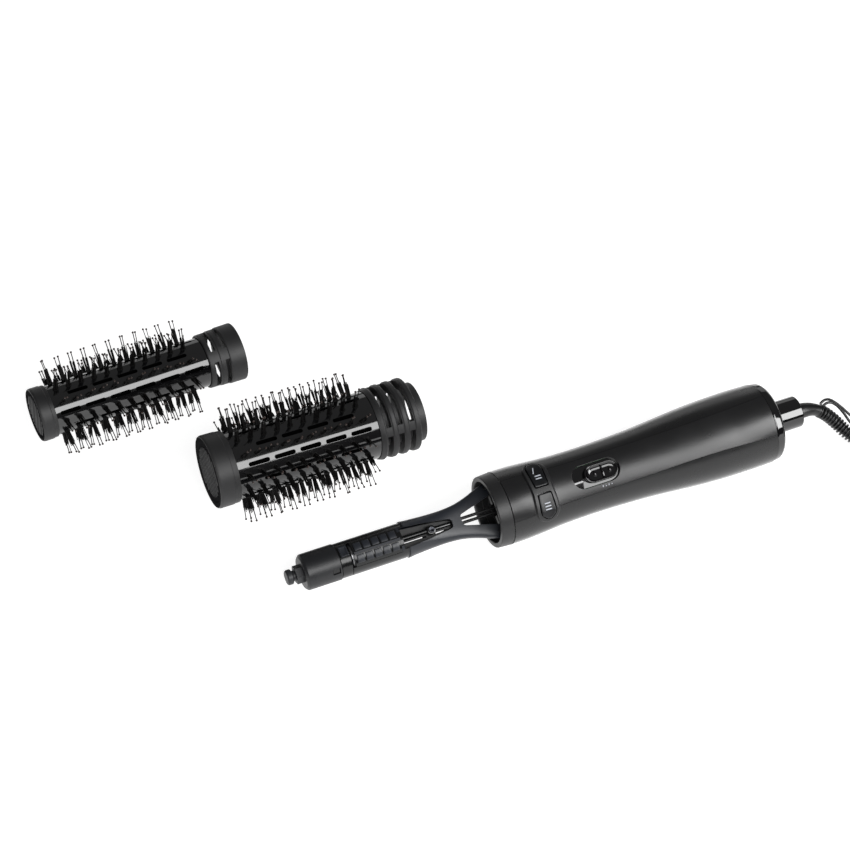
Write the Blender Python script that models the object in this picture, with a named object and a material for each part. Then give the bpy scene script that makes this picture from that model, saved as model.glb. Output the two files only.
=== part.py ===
"""Rotating hot air brush lying on a table beside its two exchangeable round brush heads.

Metres, +Z up, origin on the table under the middle of the handle and the heads.
The handle and each head are built along the local X axis of their own frame, from the tip at -X
towards the cord at +X, and the frames lay them on the table.
"""

import math

import bmesh
import bpy
from mathutils import Matrix, Vector

mm = 0.001

# Clearances
GAP = 0.3 * mm  # between pieces that touch
RUN = 0.4 * mm  # around a piece that turns or slides

# Places on the table
HANDLE_PLACE = Vector((6.03, -105.44)) * mm  # under the centre of the mouth
LARGE_HEAD_PLACE = Vector((-150.77, -11.74)) * mm  # under the centre of the front cap's face
SMALL_HEAD_PLACE = Vector((-236.17, 93.36)) * mm
SMALL_HEAD_YAW = math.radians(3)
HANDLE_ROLL = math.radians(35.5)  # the control panel leans towards -Y

# Handle
MOUTH_RADIUS = 24 * mm
MOUTH_BORE_RADIUS = 20.7 * mm
MOUTH_RING_LENGTH = 9 * mm
BODY_FRONT_END = 14.1 * mm
BODY_FRONT_RADIUS = 24.7 * mm
WAIST_RADIUS = 22.5 * mm
BELLY_RADIUS = 27.8 * mm
BODY_REAR_RADIUS = 27.5 * mm
BODY_REAR = 201 * mm
WAIST_START, WAIST_END = 62 * mm, 75 * mm
BELLY_START, BELLY_END = 175 * mm, 188 * mm
BODY_WALL = 2.2 * mm
REAR_RING_RADIUS = 26.2 * mm
REAR_RING_LENGTH = 6.7 * mm
SLEEVE_RADIUS = 10.9 * mm
SLEEVE_LENGTH = 22.6 * mm
PANEL_FRONT_HALF, PANEL_MIDDLE_HALF, PANEL_REAR_HALF = 14.2 * mm, 12.0 * mm, 14.3 * mm

# Controls
BEZEL_X = 33.3 * mm
BEZEL_LENGTH, BEZEL_WIDTH = 43 * mm, 16 * mm
BEZEL_RISE = 1.8 * mm
BUTTON_ANGLE = math.radians(27)
BUTTON_LENGTH, BUTTON_WIDTH = 16.4 * mm, 10.6 * mm
BUTTON_TRAVEL = 1.2 * mm
SWITCH_X = 72.5 * mm
SWITCH_LENGTH, SWITCH_WIDTH = 34 * mm, 16 * mm
SWITCH_DEPTH = 2.4 * mm
SLIDER_LENGTH, SLIDER_WIDTH = 24.2 * mm, 12.8 * mm
SLIDER_TRAVEL = 8.4 * mm

# Spindle
TIP_RADIUS = 11.9 * mm
TIP_FRONT = -128.2 * mm
TIP_REAR = -104.4 * mm
RING_REAR = -98.3 * mm
COVER_FRONT, COVER_REAR = -96.4 * mm, -63.8 * mm
COVER_HALF = 8.4 * mm
SPINDLE_WALL = 1.6 * mm
CROTCH = -18.3 * mm
FORK_END = 4.6 * mm
SCREW_X = -40.7 * mm
HEX_RADIUS = 6.2 * mm
HEX_LENGTH = 5.6 * mm
PIN_GROOVE, PIN_KNOB = 1.7 * mm, 3.9 * mm
PIN_KNOB_RADIUS = 5.0 * mm
WIRE_RADIUS = 1.1 * mm

# Gear set in the tip
MODULE = 0.5 * mm
SUN_TEETH, PLANET_TEETH, RING_TEETH = 12, 12, 36
GEAR_FACE = 7 * mm
PLANETS = 3

# Inside the handle
HEATER_FRONT, HEATER_REAR = 22 * mm, 98 * mm
SHIELD_RADIUS = 13.2 * mm
COIL_TURNS = 8
FAN_X = 112 * mm
FAN_RADIUS = 17.5 * mm
FAN_MOTOR_RADIUS, FAN_MOTOR_LENGTH = 12 * mm, 28 * mm

# Brush heads
HEAD_LENGTH = 141.8 * mm  # front face to the shoulder that meets the mouth
SPIGOT_LENGTH = 5.8 * mm
SPIGOT_RADIUS = MOUTH_BORE_RADIUS - RUN
BARREL_WALL = 1.6 * mm
SLOT_LENGTH, SLOT_WIDTH, SLOT_PITCH = 15 * mm, 2.6 * mm, 18.5 * mm
TUFT_PITCH = 9.2 * mm
TUFT_FOOT, TUFT_TIP_HALF = 4.2 * mm, 0.4 * mm
STRIP_HEIGHT, STRIP_WIDTH, RING_WIDTH = 1 * mm, 3.2 * mm, 1.6 * mm
HEADS = {
    "large": dict(
        cap_radius=24.8 * mm, cap_length=14.5 * mm, barrel_radius=23.2 * mm, tip_radius=40.3 * mm, rows=12,
        collar_start=113.3 * mm, collar_radius=25 * mm, vent_rows=3, vent_start=117.8 * mm, vent_width=3.6 * mm,
        vent_pitch=8 * mm, vent_count=3, vent_angle=math.radians(104), vent_turn=math.radians(81.5),
    ),
    "small": dict(
        cap_radius=18.6 * mm, cap_length=10.6 * mm, barrel_radius=17.3 * mm, tip_radius=34.7 * mm, rows=9,
        collar_start=121.4 * mm, collar_radius=18.9 * mm, vent_rows=2, vent_start=124.9 * mm, vent_width=3 * mm,
        vent_pitch=7.8 * mm, vent_count=4, vent_angle=math.radians(65), vent_turn=0,
    ),
}

# Cord: it leaves the sleeve, drops to the table and ends in a coil and a plug
CORD_RADIUS = 3.5 * mm
RELIEF_START_RADIUS, RELIEF_END_RADIUS = 5.5 * mm, 4.3 * mm
RELIEF_ROUTE = [
    (237.4, -105.6, 27.9), (243, -105.6, 27.8), (249, -105.9, 26.6), (255, -107.2, 23.9), (260.3, -109.9, 19.9),
    (265, -113.8, 15.2), (269.3, -118.9, 10.6), (273.6, -124.7, 7), (278, -131, 5.1),
]
CORD_ROUTE = [(278.2, -131.3, 5), (283, -138.5, 4.1), (289, -147.6, 3.6), (295.5, -157.3, 3.5), (298.6, -162, 3.5)]
TAIL_ROUTE = [(395, -131.6, 21.4), (395, -122, 18.2), (395, -112, 14.8), (395, -103, 12.9), (395, -94.6, 12.4)]
COIL_CENTRE = (350, -158)
COIL_INNER, COIL_OUTER, COIL_HEIGHT = 34.3 * mm, 48.7 * mm, 28 * mm
LOOP_ROUTE = [
    (259.5, -103.2, 22.6), (263, -102.4, 24.2), (267, -102.8, 23.6), (271, -104.6, 20.4), (274.6, -107.8, 15.4),
    (277.6, -112, 10), (280.6, -118.2, 6.8), (284.6, -125, 3), (289.4, -131.4, 1.3), (294.6, -134.6, 1.4),
    (298.2, -131.6, 1.4), (296.8, -126, 1.6), (291.4, -119.6, 2.8), (286, -113.4, 7.2), (281, -107.6, 10.6),
    (276, -103.6, 16), (271.2, -100.6, 20.6), (266.8, -99.2, 23.6), (262.6, -99.6, 24.6), (259.3, -100.6, 23.4),
]
LOOP_RADIUS = 0.9 * mm
PLUG_REAR_Y, PLUG_LENGTH = -94.2 * mm, 38 * mm
PLUG_X, PLUG_Z = 395 * mm, 12.4 * mm
PIN_RADIUS, PIN_LENGTH, PIN_SPACING = 2.4 * mm, 19 * mm, 19 * mm

STEPS = 26


def clear_scene():
    for obj in list(bpy.data.objects):
        bpy.data.objects.remove(obj)


def material(name, colour, roughness, metallic=0.0):
    made = bpy.data.materials.new(name)
    made.use_nodes = True
    shader = made.node_tree.nodes["Principled BSDF"]
    shader.inputs["Base Color"].default_value = (*colour, 1)
    shader.inputs["Roughness"].default_value = roughness
    shader.inputs["Metallic"].default_value = metallic
    return made


def frame(name, location, rotation):
    empty = bpy.data.objects.new(name, None)
    empty.location = location
    empty.rotation_euler = rotation
    bpy.context.scene.collection.objects.link(empty)
    return empty


def finish(name, bm, mat, parent):
    """The bmesh as a named object under its frame, smooth where it is round."""
    bmesh.ops.remove_doubles(bm, verts=bm.verts, dist=1e-7)
    bmesh.ops.recalc_face_normals(bm, faces=bm.faces)
    mesh = bpy.data.meshes.new(name)
    bm.to_mesh(mesh)
    bm.free()
    mesh.materials.append(mat)
    mesh.shade_smooth()
    mesh.set_sharp_from_angle(angle=math.radians(35))
    obj = bpy.data.objects.new(name, mesh)
    bpy.context.scene.collection.objects.link(obj)
    obj.parent = parent
    return obj


def turned(name, profile, mat, parent, steps=STEPS, start=0.0):
    """Turns (x, radius) points about X. A closed ring of points makes a tube, ends on the axis make a solid."""
    bm = bmesh.new()
    verts = [bm.verts.new((x, -r * math.sin(start), r * math.cos(start))) for x, r in profile]
    on_axis = profile[0][1] == 0 and profile[-1][1] == 0
    pairs = list(zip(verts, verts[1:])) + ([] if on_axis else [(verts[-1], verts[0])])
    edges = [bm.edges.new(pair) for pair in pairs]
    bmesh.ops.spin(
        bm, geom=verts + edges, cent=(0, 0, 0), axis=(1, 0, 0), angle=2 * math.pi, steps=steps, use_merge=True
    )
    return finish(name, bm, mat, parent)


def tube_profile(x0, x1, inner, outer):
    return [(x0, inner), (x0, outer), (x1, outer), (x1, inner)]


def box(name, low, high, mat, parent):
    bm = bmesh.new()
    size = Vector(high) - Vector(low)
    centre = (Vector(high) + Vector(low)) / 2
    bmesh.ops.create_cube(bm, size=1, matrix=Matrix.Translation(centre) @ Matrix.Diagonal((*size, 1)))
    return finish(name, bm, mat, parent)


def prism(name, outline, axis, low, high, mat, parent):
    """Extrudes an outline of (a, b) points along axis: "z" takes them as (x, y), "x" as (y, z)."""
    place = (lambda a, b, c: (a, b, c)) if axis == "z" else (lambda a, b, c: (c, a, b))
    bm = bmesh.new()
    face = bm.faces.new([bm.verts.new(place(a, b, low)) for a, b in outline])
    raised = bmesh.ops.extrude_face_region(bm, geom=[face])
    top = [v for v in raised["geom"] if isinstance(v, bmesh.types.BMVert)]
    bmesh.ops.translate(bm, verts=top, vec=Vector(place(0, 0, high - low)))
    return finish(name, bm, mat, parent)


def lofted(name, rings, mat, parent):
    bm = bmesh.new()
    loops = []
    for ring in rings:
        verts = [bm.verts.new(point) for point in ring]
        loops.append([bm.edges.new(pair) for pair in zip(verts, verts[1:] + verts[:1])])
        if ring in (rings[0], rings[-1]):
            bm.faces.new(verts)
    for first, second in zip(loops, loops[1:]):
        bmesh.ops.bridge_loops(bm, edges=first + second)
    return finish(name, bm, mat, parent)


def helper(obj):
    obj.hide_render = True
    obj.display_type = "WIRE"
    return obj


def combine(obj, operation, other):
    modifier = obj.modifiers.new(other.name, "BOOLEAN")
    modifier.operation = operation
    modifier.object = helper(other)
    return obj


def circle(radius, count, centre=(0, 0), turn=0.0):
    steps = [turn + 2 * math.pi * i / count for i in range(count)]
    return [(centre[0] + radius * math.cos(a), centre[1] + radius * math.sin(a)) for a in steps]


def ring_sector(inner, outer, middle, angle, count=6):
    """Part of a ring between two radii, angle wide about the direction middle, as points in order."""
    turns = [middle + angle * (i / count - 0.5) for i in range(count + 1)]
    return ([(outer * math.cos(a), outer * math.sin(a)) for a in turns]
            + [(inner * math.cos(a), inner * math.sin(a)) for a in reversed(turns)])


def stadium(length, width, centre=(0, 0), along="x", arc_steps=8):
    """A rectangle with half-round ends, as points in order."""
    reach, radius = (length - width) / 2, width / 2
    points = []
    for side, start in ((1, -math.pi / 2), (-1, math.pi / 2)):
        for i in range(arc_steps + 1):
            a = start + math.pi * i / arc_steps
            points.append((side * reach + radius * math.cos(a), radius * math.sin(a)))
    if along == "y":
        points = [(-b, a) for a, b in points]
    return [(centre[0] + a, centre[1] + b) for a, b in points]


def ease(t):
    t = min(max(t, 0), 1)
    return (1 - math.cos(math.pi * t)) / 2


def body_radius(x):
    """Outer radius of the handle's body: a waist under the hand and a wide rear."""
    if x < WAIST_END:
        share = ease((x - BODY_FRONT_END) / (WAIST_START - BODY_FRONT_END))
        return BODY_FRONT_RADIUS + (WAIST_RADIUS - BODY_FRONT_RADIUS) * share
    if x < BELLY_END:
        return WAIST_RADIUS + (BELLY_RADIUS - WAIST_RADIUS) * ease((x - WAIST_END) / (BELLY_START - WAIST_END))
    return BELLY_RADIUS + (BODY_REAR_RADIUS - BELLY_RADIUS) * (x - BELLY_END) / (BODY_REAR - BELLY_END)


def panel_half(x):
    """Half the width of the control panel, seen from above it."""
    if x < BODY_REAR * 0.5:
        return PANEL_FRONT_HALF + (PANEL_MIDDLE_HALF - PANEL_FRONT_HALF) * ease((x - 15 * mm) / (95 * mm))
    return PANEL_MIDDLE_HALF + (PANEL_REAR_HALF - PANEL_MIDDLE_HALF) * ease((x - 150 * mm) / (60 * mm))


def body_stations():
    start = MOUTH_RING_LENGTH + GAP
    count = 10
    return [start + (BODY_REAR - start) * i / count for i in range(count + 1)]


def body_shell(name, inner_drop, outer_drop, mat, parent, steps=STEPS):
    xs = body_stations()
    outer = [(x, body_radius(x) - outer_drop) for x in xs]
    inner = [(x, body_radius(x) - inner_drop) for x in reversed(xs)]
    return turned(name, outer + inner, mat, parent, steps)


def panel_prism(name, clearance, mat, parent):
    xs = body_stations()
    xs[0] -= 2 * mm
    xs[-1] += 2 * mm
    near = [(x, -panel_half(x) - clearance) for x in xs]
    far = [(x, panel_half(x) + clearance) for x in reversed(xs)]
    return prism(name, near + far, "z", 2 * mm, 40 * mm, mat, parent)


def make_casing(hand, mats):
    """Mouth ring, body shell, panel strip and rear ring: the outside of the handle."""
    lip_radius = body_radius(MOUTH_RING_LENGTH) - BODY_WALL - GAP
    turned("mouth_ring", [
        (0, MOUTH_BORE_RADIUS), (0, MOUTH_RADIUS - 0.8 * mm), (0.8 * mm, MOUTH_RADIUS),
        (MOUTH_RING_LENGTH, BODY_FRONT_RADIUS - 0.1 * mm), (MOUTH_RING_LENGTH, lip_radius),
        (MOUTH_RING_LENGTH + 5 * mm, lip_radius), (MOUTH_RING_LENGTH + 5 * mm, MOUTH_BORE_RADIUS),
    ], mats["shell"], hand)
    shell = body_shell("handle_shell", BODY_WALL, 0, mats["shell"], hand)
    combine(shell, "DIFFERENCE", panel_prism("panel_opening", GAP, mats["shell"], hand))
    panel = body_shell("top_panel", BODY_WALL, 0, mats["panel"], hand)
    combine(panel, "INTERSECT", panel_prism("panel_outline", 0, mats["panel"], hand))
    switch_hole = prism("switch_hole", stadium(SWITCH_LENGTH, SWITCH_WIDTH, (SWITCH_X, 0)), "z",
                        10 * mm, 40 * mm, mats["panel"], hand)
    combine(panel, "DIFFERENCE", switch_hole)
    for side in (-1, 1):
        well = button_block(f"button_well_{side}", side, RUN, 12 * mm, 32 * mm, mats["panel"], hand)
        combine(panel, "DIFFERENCE", well)
        combine(shell, "DIFFERENCE", well)
    rear = BODY_REAR + GAP
    lip = BODY_REAR_RADIUS - BODY_WALL - 2 * GAP
    turned("rear_ring", [
        (rear - 6 * mm, lip - 2 * mm), (rear - 6 * mm, lip), (rear, lip), (rear, BODY_REAR_RADIUS - 0.7 * mm),
        (rear + REAR_RING_LENGTH * 0.8, REAR_RING_RADIUS), (rear + REAR_RING_LENGTH, REAR_RING_RADIUS - 1.2 * mm),
        (rear + REAR_RING_LENGTH, REAR_RING_RADIUS - 3.4 * mm), (rear, lip - 2 * mm),
    ], mats["gloss"], hand)


def button_frame(side, parent):
    """A frame on the handle's axis whose +Z points out through one direction button."""
    name = f"button_axis_{'left' if side < 0 else 'right'}"
    return bpy.data.objects.get(name) or make_button_frame(name, side, parent)


def make_button_frame(name, side, parent):
    empty = frame(name, (BEZEL_X, 0, 0), (-side * BUTTON_ANGLE, 0, 0))
    empty.parent = parent
    return empty


def button_block(name, side, clearance, low, high, mat, parent):
    outline = stadium(BUTTON_LENGTH + 2 * clearance, BUTTON_WIDTH + 2 * clearance, along="y")
    return prism(name, outline, "z", low, high, mat, button_frame(side, parent))


def make_controls(hand, mats):
    """Button bezel, two direction buttons and the power slider with its track."""
    bezel = body_shell("button_bezel", -GAP, -BEZEL_RISE, mats["shell"], hand, steps=64)
    outline = stadium(BEZEL_LENGTH, BEZEL_WIDTH, (BEZEL_X, 0), along="y")
    combine(bezel, "INTERSECT", prism("bezel_outline", outline, "z", 6 * mm, 40 * mm, mats["shell"], hand))
    button_top = body_radius(BEZEL_X) + BEZEL_RISE + 0.2 * mm
    for side, name in ((-1, "left"), (1, "right")):
        well = button_block(f"bezel_well_{name}", side, RUN, 12 * mm, 32 * mm, mats["shell"], hand)
        combine(bezel, "DIFFERENCE", well)
        button = button_block(f"{name}_button", side, 0, button_top - 6.4 * mm, button_top, mats["button"], hand)
        stem = prism(f"{name}_stem", circle(1.6 * mm, 12), "z", button_top - 8.6 * mm, button_top - 6 * mm,
                     mats["button"], button_frame(side, hand))
        combine(button, "UNION", stem)
        switch_top = button_top - 8.6 * mm - BUTTON_TRAVEL - RUN
        box(f"{name}_microswitch", (-3 * mm, -3 * mm, SHIELD_RADIUS + GAP), (3 * mm, 3 * mm, switch_top),
            mats["plastic"], button_frame(side, hand))
    floor = body_radius(SWITCH_X) - SWITCH_DEPTH
    track = prism("slider_track", stadium(SWITCH_LENGTH - 2 * GAP, SWITCH_WIDTH - 2 * GAP, (SWITCH_X, 0)), "z",
                  floor - 1.4 * mm, floor, mats["gloss"], hand)
    slider_x = SWITCH_X + (SWITCH_LENGTH - SLIDER_LENGTH) / 2 - 1.2 * mm
    slot_centre = slider_x - SLIDER_TRAVEL / 2
    slot = prism("track_slot", stadium(SLIDER_TRAVEL + 6 * mm, 4 * mm, (slot_centre, 0)), "z",
                 floor - 3 * mm, floor + 2 * mm, mats["gloss"], hand)
    combine(track, "DIFFERENCE", slot)
    slider = prism("power_slider", stadium(SLIDER_LENGTH, SLIDER_WIDTH, (slider_x, 0)), "z",
                   floor + GAP, floor + SWITCH_DEPTH + 0.7 * mm, mats["gloss"], hand)
    combine(slider, "UNION", prism("slider_stem", circle(1.6 * mm, 12, (slider_x, 0)), "z",
                                   floor - 3.2 * mm, floor + 1 * mm, mats["gloss"], hand))
    board_top = SHIELD_RADIUS + 1.6 * mm
    box("control_board", (46 * mm, -9 * mm, SHIELD_RADIUS + GAP), (104 * mm, 9 * mm, board_top), mats["board"], hand)
    box("slide_switch", (slot_centre - 9 * mm, -4 * mm, board_top + GAP),
        (slot_centre + 9 * mm, 4 * mm, floor - 3.2 * mm - GAP), mats["plastic"], hand)


def make_heater(hand, mats):
    """Crossed mica frame, heating coil, cut-out and heat shield."""
    cross = SHIELD_RADIUS - 3.4 * mm
    length = HEATER_REAR - HEATER_FRONT
    frame_plate = box("heater_frame", (HEATER_FRONT, -cross, -0.4 * mm), (HEATER_REAR, cross, 0.4 * mm),
                      mats["mica"], hand)
    combine(frame_plate, "UNION", box("mica_cross", (HEATER_FRONT, -0.4 * mm, -cross),
                                      (HEATER_REAR, 0.4 * mm, cross), mats["mica"], hand))
    turned("heat_shield", tube_profile(HEATER_FRONT - 1 * mm, HEATER_REAR + 1 * mm, SHIELD_RADIUS - 0.6 * mm,
                                       SHIELD_RADIUS), mats["steel"], hand, steps=28)
    wound, per_turn = cross + 1.5 * mm, 10
    points = []
    for i in range(COIL_TURNS * per_turn + 1):
        a = 2 * math.pi * i / per_turn
        x = HEATER_FRONT + 8 * mm + (length - 16 * mm) * i / (COIL_TURNS * per_turn)
        points.append((x, wound * math.cos(a), wound * math.sin(a)))
    tube("heating_coil", points, 0.5 * mm, mats["steel"], hand, resolution=0)
    cutout_x = HEATER_FRONT + 4 * mm
    box("thermal_cutout", (cutout_x, 2 * mm, 1 * mm), (cutout_x + 9 * mm, 5.5 * mm, 4 * mm), mats["steel"], hand)


def make_fan(hand, mats):
    """Impeller on the fan motor's shaft, held by a vaned mount."""
    motor_front = FAN_X + 8 * mm
    hub = turned("fan_impeller", [
        (FAN_X - 4 * mm, 0), (FAN_X - 3 * mm, 5 * mm), (FAN_X + 4 * mm, 6 * mm), (FAN_X + 4 * mm, 1.2 * mm),
        (motor_front + 3 * mm, 1.2 * mm), (motor_front + 3 * mm, 0),
    ], mats["plastic"], hand, steps=16)
    blades = 7
    for i in range(blades):
        blade = box(f"fan_blade_{i}", (FAN_X - 3 * mm, 0, 4 * mm), (FAN_X + 4 * mm, 1.2 * mm, FAN_RADIUS),
                    mats["plastic"], hand)
        blade.data.transform(Matrix.Rotation(2 * math.pi * i / blades, 4, "X"))
        combine(hub, "UNION", blade)
    turned("fan_motor", tube_profile(motor_front, motor_front + FAN_MOTOR_LENGTH, 1.2 * mm + RUN, FAN_MOTOR_RADIUS),
           mats["steel"], hand, steps=20)
    motor_end = motor_front + FAN_MOTOR_LENGTH
    mount_inner, mount_outer = FAN_MOTOR_RADIUS + GAP, body_radius(motor_front) - BODY_WALL - GAP
    mount = turned("motor_mount", tube_profile(motor_front + 4 * mm, motor_end - 8 * mm, mount_inner,
                                               mount_inner + 1.4 * mm), mats["plastic"], hand, steps=24)
    for i in range(3):
        vane = box(f"mount_vane_{i}", (motor_front + 6 * mm, -0.8 * mm, mount_inner + 0.6 * mm),
                   (motor_end - 10 * mm, 0.8 * mm, mount_outer), mats["plastic"], hand)
        vane.data.transform(Matrix.Rotation(2 * math.pi * (i + 0.5) / 3, 4, "X"))
        combine(mount, "UNION", vane)


def make_rear(hand, mats):
    """Intake grille in the rear ring: it carries the swivel sleeve in its middle."""
    rear = BODY_REAR + GAP
    bearing = SLEEVE_RADIUS - 2 * mm + RUN
    grille = turned("intake_grille", tube_profile(rear + 0.6 * mm, rear + 3.4 * mm, bearing,
                                                  BODY_REAR_RADIUS - BODY_WALL - 2 * GAP - 2 * mm - 0.2 * mm),
                    mats["plastic"], hand)
    slots = 12
    for i in range(slots):
        slot = box(f"intake_slot_{i}", (rear - 4 * mm, -1.1 * mm, SLEEVE_RADIUS + 2.2 * mm),
                   (rear + 8 * mm, 1.1 * mm, BODY_REAR_RADIUS - 7 * mm), mats["plastic"], hand)
        slot.data.transform(Matrix.Rotation(2 * math.pi * i / slots, 4, "X"))
        combine(grille, "DIFFERENCE", slot)


def superellipse(x, half_width, half_height, power, count=28):
    """A closed section at x, round at power 2 and nearly rectangular at power 5."""
    points = []
    for i in range(count):
        a = 2 * math.pi * i / count
        c, s = math.cos(a), math.sin(a)
        y = half_width * math.copysign(abs(c) ** (2 / power), c)
        z = half_height * math.copysign(abs(s) ** (2 / power), s)
        points.append((x, y, z))
    return points


def spindle_sections(shrink=0.0, start=RING_REAR + GAP, end=FORK_END):
    """The spindle's outline: a round motor tube that flattens into a fork as wide as the mouth's bore."""
    stations = [
        (-58 * mm, TIP_RADIUS, TIP_RADIUS, 2), (-50 * mm, 11.5 * mm, 10.6 * mm, 2.2), (-40 * mm, 10.8 * mm, 7.6 * mm, 2.6),
        (-30 * mm, 10.7 * mm, 5.6 * mm, 3.2), (-20 * mm, 11.6 * mm, 4.6 * mm, 3.8), (-10 * mm, 14.2 * mm, 4.2 * mm, 4),
        (-3 * mm, 16.8 * mm, 4 * mm, 4), (end, MOUTH_BORE_RADIUS - 1.6 * mm, 4 * mm, 4),
    ]
    whole = [(start, TIP_RADIUS, TIP_RADIUS, 2)] + stations
    return [superellipse(x, w - shrink, h - shrink, p) for x, w, h, p in whole]


def half_space(name, side, hand, mats):
    low, high = (-40 * mm, -GAP / 2) if side < 0 else (GAP / 2, 40 * mm)
    return box(name, (-140 * mm, -40 * mm, low), (40 * mm, 40 * mm, high), mats["spindle"], hand)


def spindle_cavity(name, hand, mats):
    inner = TIP_RADIUS - SPINDLE_WALL
    rings = [superellipse(x, w, h, p) for x, w, h, p in (
        (RING_REAR - 2 * mm, inner, inner, 2), (-58 * mm, inner, inner, 2), (-46 * mm, 8.6 * mm, 7 * mm, 2.4),
        (-34 * mm, 6.8 * mm, 4.2 * mm, 2.8), (-24 * mm, 4 * mm, 2.8 * mm, 3), (CROTCH + 2 * mm, 3.4 * mm, 2.4 * mm, 3),
    )]
    return lofted(name, rings, mats["spindle"], hand)


def fork_window(name, hand, mats):
    outline = [(CROTCH, -4.4 * mm), (FORK_END + 4 * mm, -11.8 * mm), (FORK_END + 4 * mm, 11.8 * mm), (CROTCH, 4.4 * mm)]
    return prism(name, outline, "z", -20 * mm, 20 * mm, mats["spindle"], hand)


def make_spindle(hand, mats):
    """Two half shells with a snap-in motor cover, closed by one screw."""
    for side, name in ((1, "spindle_front_shell"), (-1, "spindle_back_shell")):
        shell = lofted(name, spindle_sections(), mats["spindle"], hand)
        combine(shell, "DIFFERENCE", spindle_cavity(f"{name}_cavity", hand, mats))
        combine(shell, "DIFFERENCE", fork_window(f"{name}_window", hand, mats))
        if side > 0:
            channel = [(COVER_REAR + 2 * mm, -5.6 * mm), (-27 * mm, -2.6 * mm), (-27 * mm, 2.6 * mm),
                       (COVER_REAR + 2 * mm, 5.6 * mm)]
            combine(shell, "DIFFERENCE", prism("wire_channel", channel, "z", 1 * mm, 20 * mm, mats["spindle"], hand))
            combine(shell, "DIFFERENCE", box("cover_opening", (COVER_FRONT, -COVER_HALF, 1 * mm),
                                             (COVER_REAR, COVER_HALF, 20 * mm), mats["spindle"], hand))
        else:
            boss = prism("screw_boss", circle(3.4 * mm, 16, (SCREW_X, 0)), "z", -5 * mm, -0.6 * mm,
                         mats["spindle"], hand)
            combine(shell, "UNION", boss)
            hole = prism("screw_hole", circle(1.2 * mm + GAP, 12, (SCREW_X, 0)), "z", -4 * mm, 10 * mm,
                         mats["spindle"], hand)
            combine(shell, "DIFFERENCE", hole)
        combine(shell, "INTERSECT", half_space(f"{name}_half", side, hand, mats))
    cover = turned("motor_cover", tube_profile(COVER_FRONT + GAP, COVER_REAR - GAP, TIP_RADIUS - SPINDLE_WALL + 0.2 * mm,
                                               TIP_RADIUS + 0.2 * mm), mats["spindle"], hand, steps=48)
    combine(cover, "INTERSECT", box("cover_outline", (-120 * mm, -COVER_HALF + GAP, 2 * mm),
                                    (-50 * mm, COVER_HALF - GAP, 20 * mm), mats["spindle"], hand))
    screw = prism("spindle_screw", circle(1.2 * mm, 12, (SCREW_X, 0)), "z", -3.6 * mm, 0.2 * mm, mats["steel"], hand)
    combine(screw, "UNION", prism("screw_head", circle(2.6 * mm, 20, (SCREW_X, 0)), "z", -0.3 * mm, 1.6 * mm,
                                  mats["steel"], hand))
    turned("clamp_ring", tube_profile(TIP_REAR + GAP, RING_REAR, TIP_RADIUS - SPINDLE_WALL, TIP_RADIUS - 0.5 * mm),
           mats["spindle"], hand, steps=32)
    for side, name in ((-1, "left_wire"), (1, "right_wire")):
        route = [(-63, 3.6), (-56, 4.6), (-48, 4.9), (-40, 4.7), (-32, 3.4), (-25, 1.9), (-18, 1.5), (-8, 1.5), (2, 1.5), (14, 1.5)]
        tube(name, [(x * mm, side * y * mm, 0) for x, y in route], WIRE_RADIUS, mats["rubber"], hand, resolution=1)


def make_outlet(hand, mats):
    """Stepped sleeve inside the mouth, with the bar that the fork and the wires end on."""
    front = FORK_END + GAP
    outer = MOUTH_BORE_RADIUS - GAP
    sleeve = turned("outlet_sleeve", [
        (front, outer - 1.4 * mm), (front, outer), (front + 15 * mm, outer), (front + 15 * mm, outer - 3 * mm),
        (front + 4 * mm, outer - 3 * mm), (front + 4 * mm, outer - 1.4 * mm),
    ], mats["plastic"], hand)
    combine(sleeve, "UNION", box("outlet_bar", (front, -outer + 0.8 * mm, -2 * mm),
                                 (front + 4 * mm, outer - 0.8 * mm, 2 * mm), mats["plastic"], hand))
    combine(sleeve, "DIFFERENCE", box("wire_opening", (front - 2 * mm, -3 * mm, -1.5 * mm),
                                      (front + 6 * mm, 3 * mm, 1.5 * mm), mats["plastic"], hand))


def gear_outline(teeth, outward, turn=0.0):
    """Straight-flanked teeth on the pitch circle; outward is -1 for a ring gear's inner teeth."""
    pitch = MODULE * teeth / 2
    tip, root = pitch + outward * 0.8 * MODULE, pitch - outward * 1.15 * MODULE
    step = 2 * math.pi / teeth
    points = []
    for i in range(teeth):
        a = turn + i * step
        for radius, offset in ((root, -0.33), (tip, -0.13), (tip, 0.13), (root, 0.33)):
            points.append((radius * math.cos(a + offset * step), radius * math.sin(a + offset * step)))
    return points


def gear(name, outline, x0, x1, hole, mat, parent):
    made = prism(name, outline, "x", x0, x1, mat, parent)
    combine(made, "DIFFERENCE", prism(f"{name}_bore", circle(hole, 12), "x", x0 - mm, x1 + mm, mat, parent))
    return made


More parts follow.
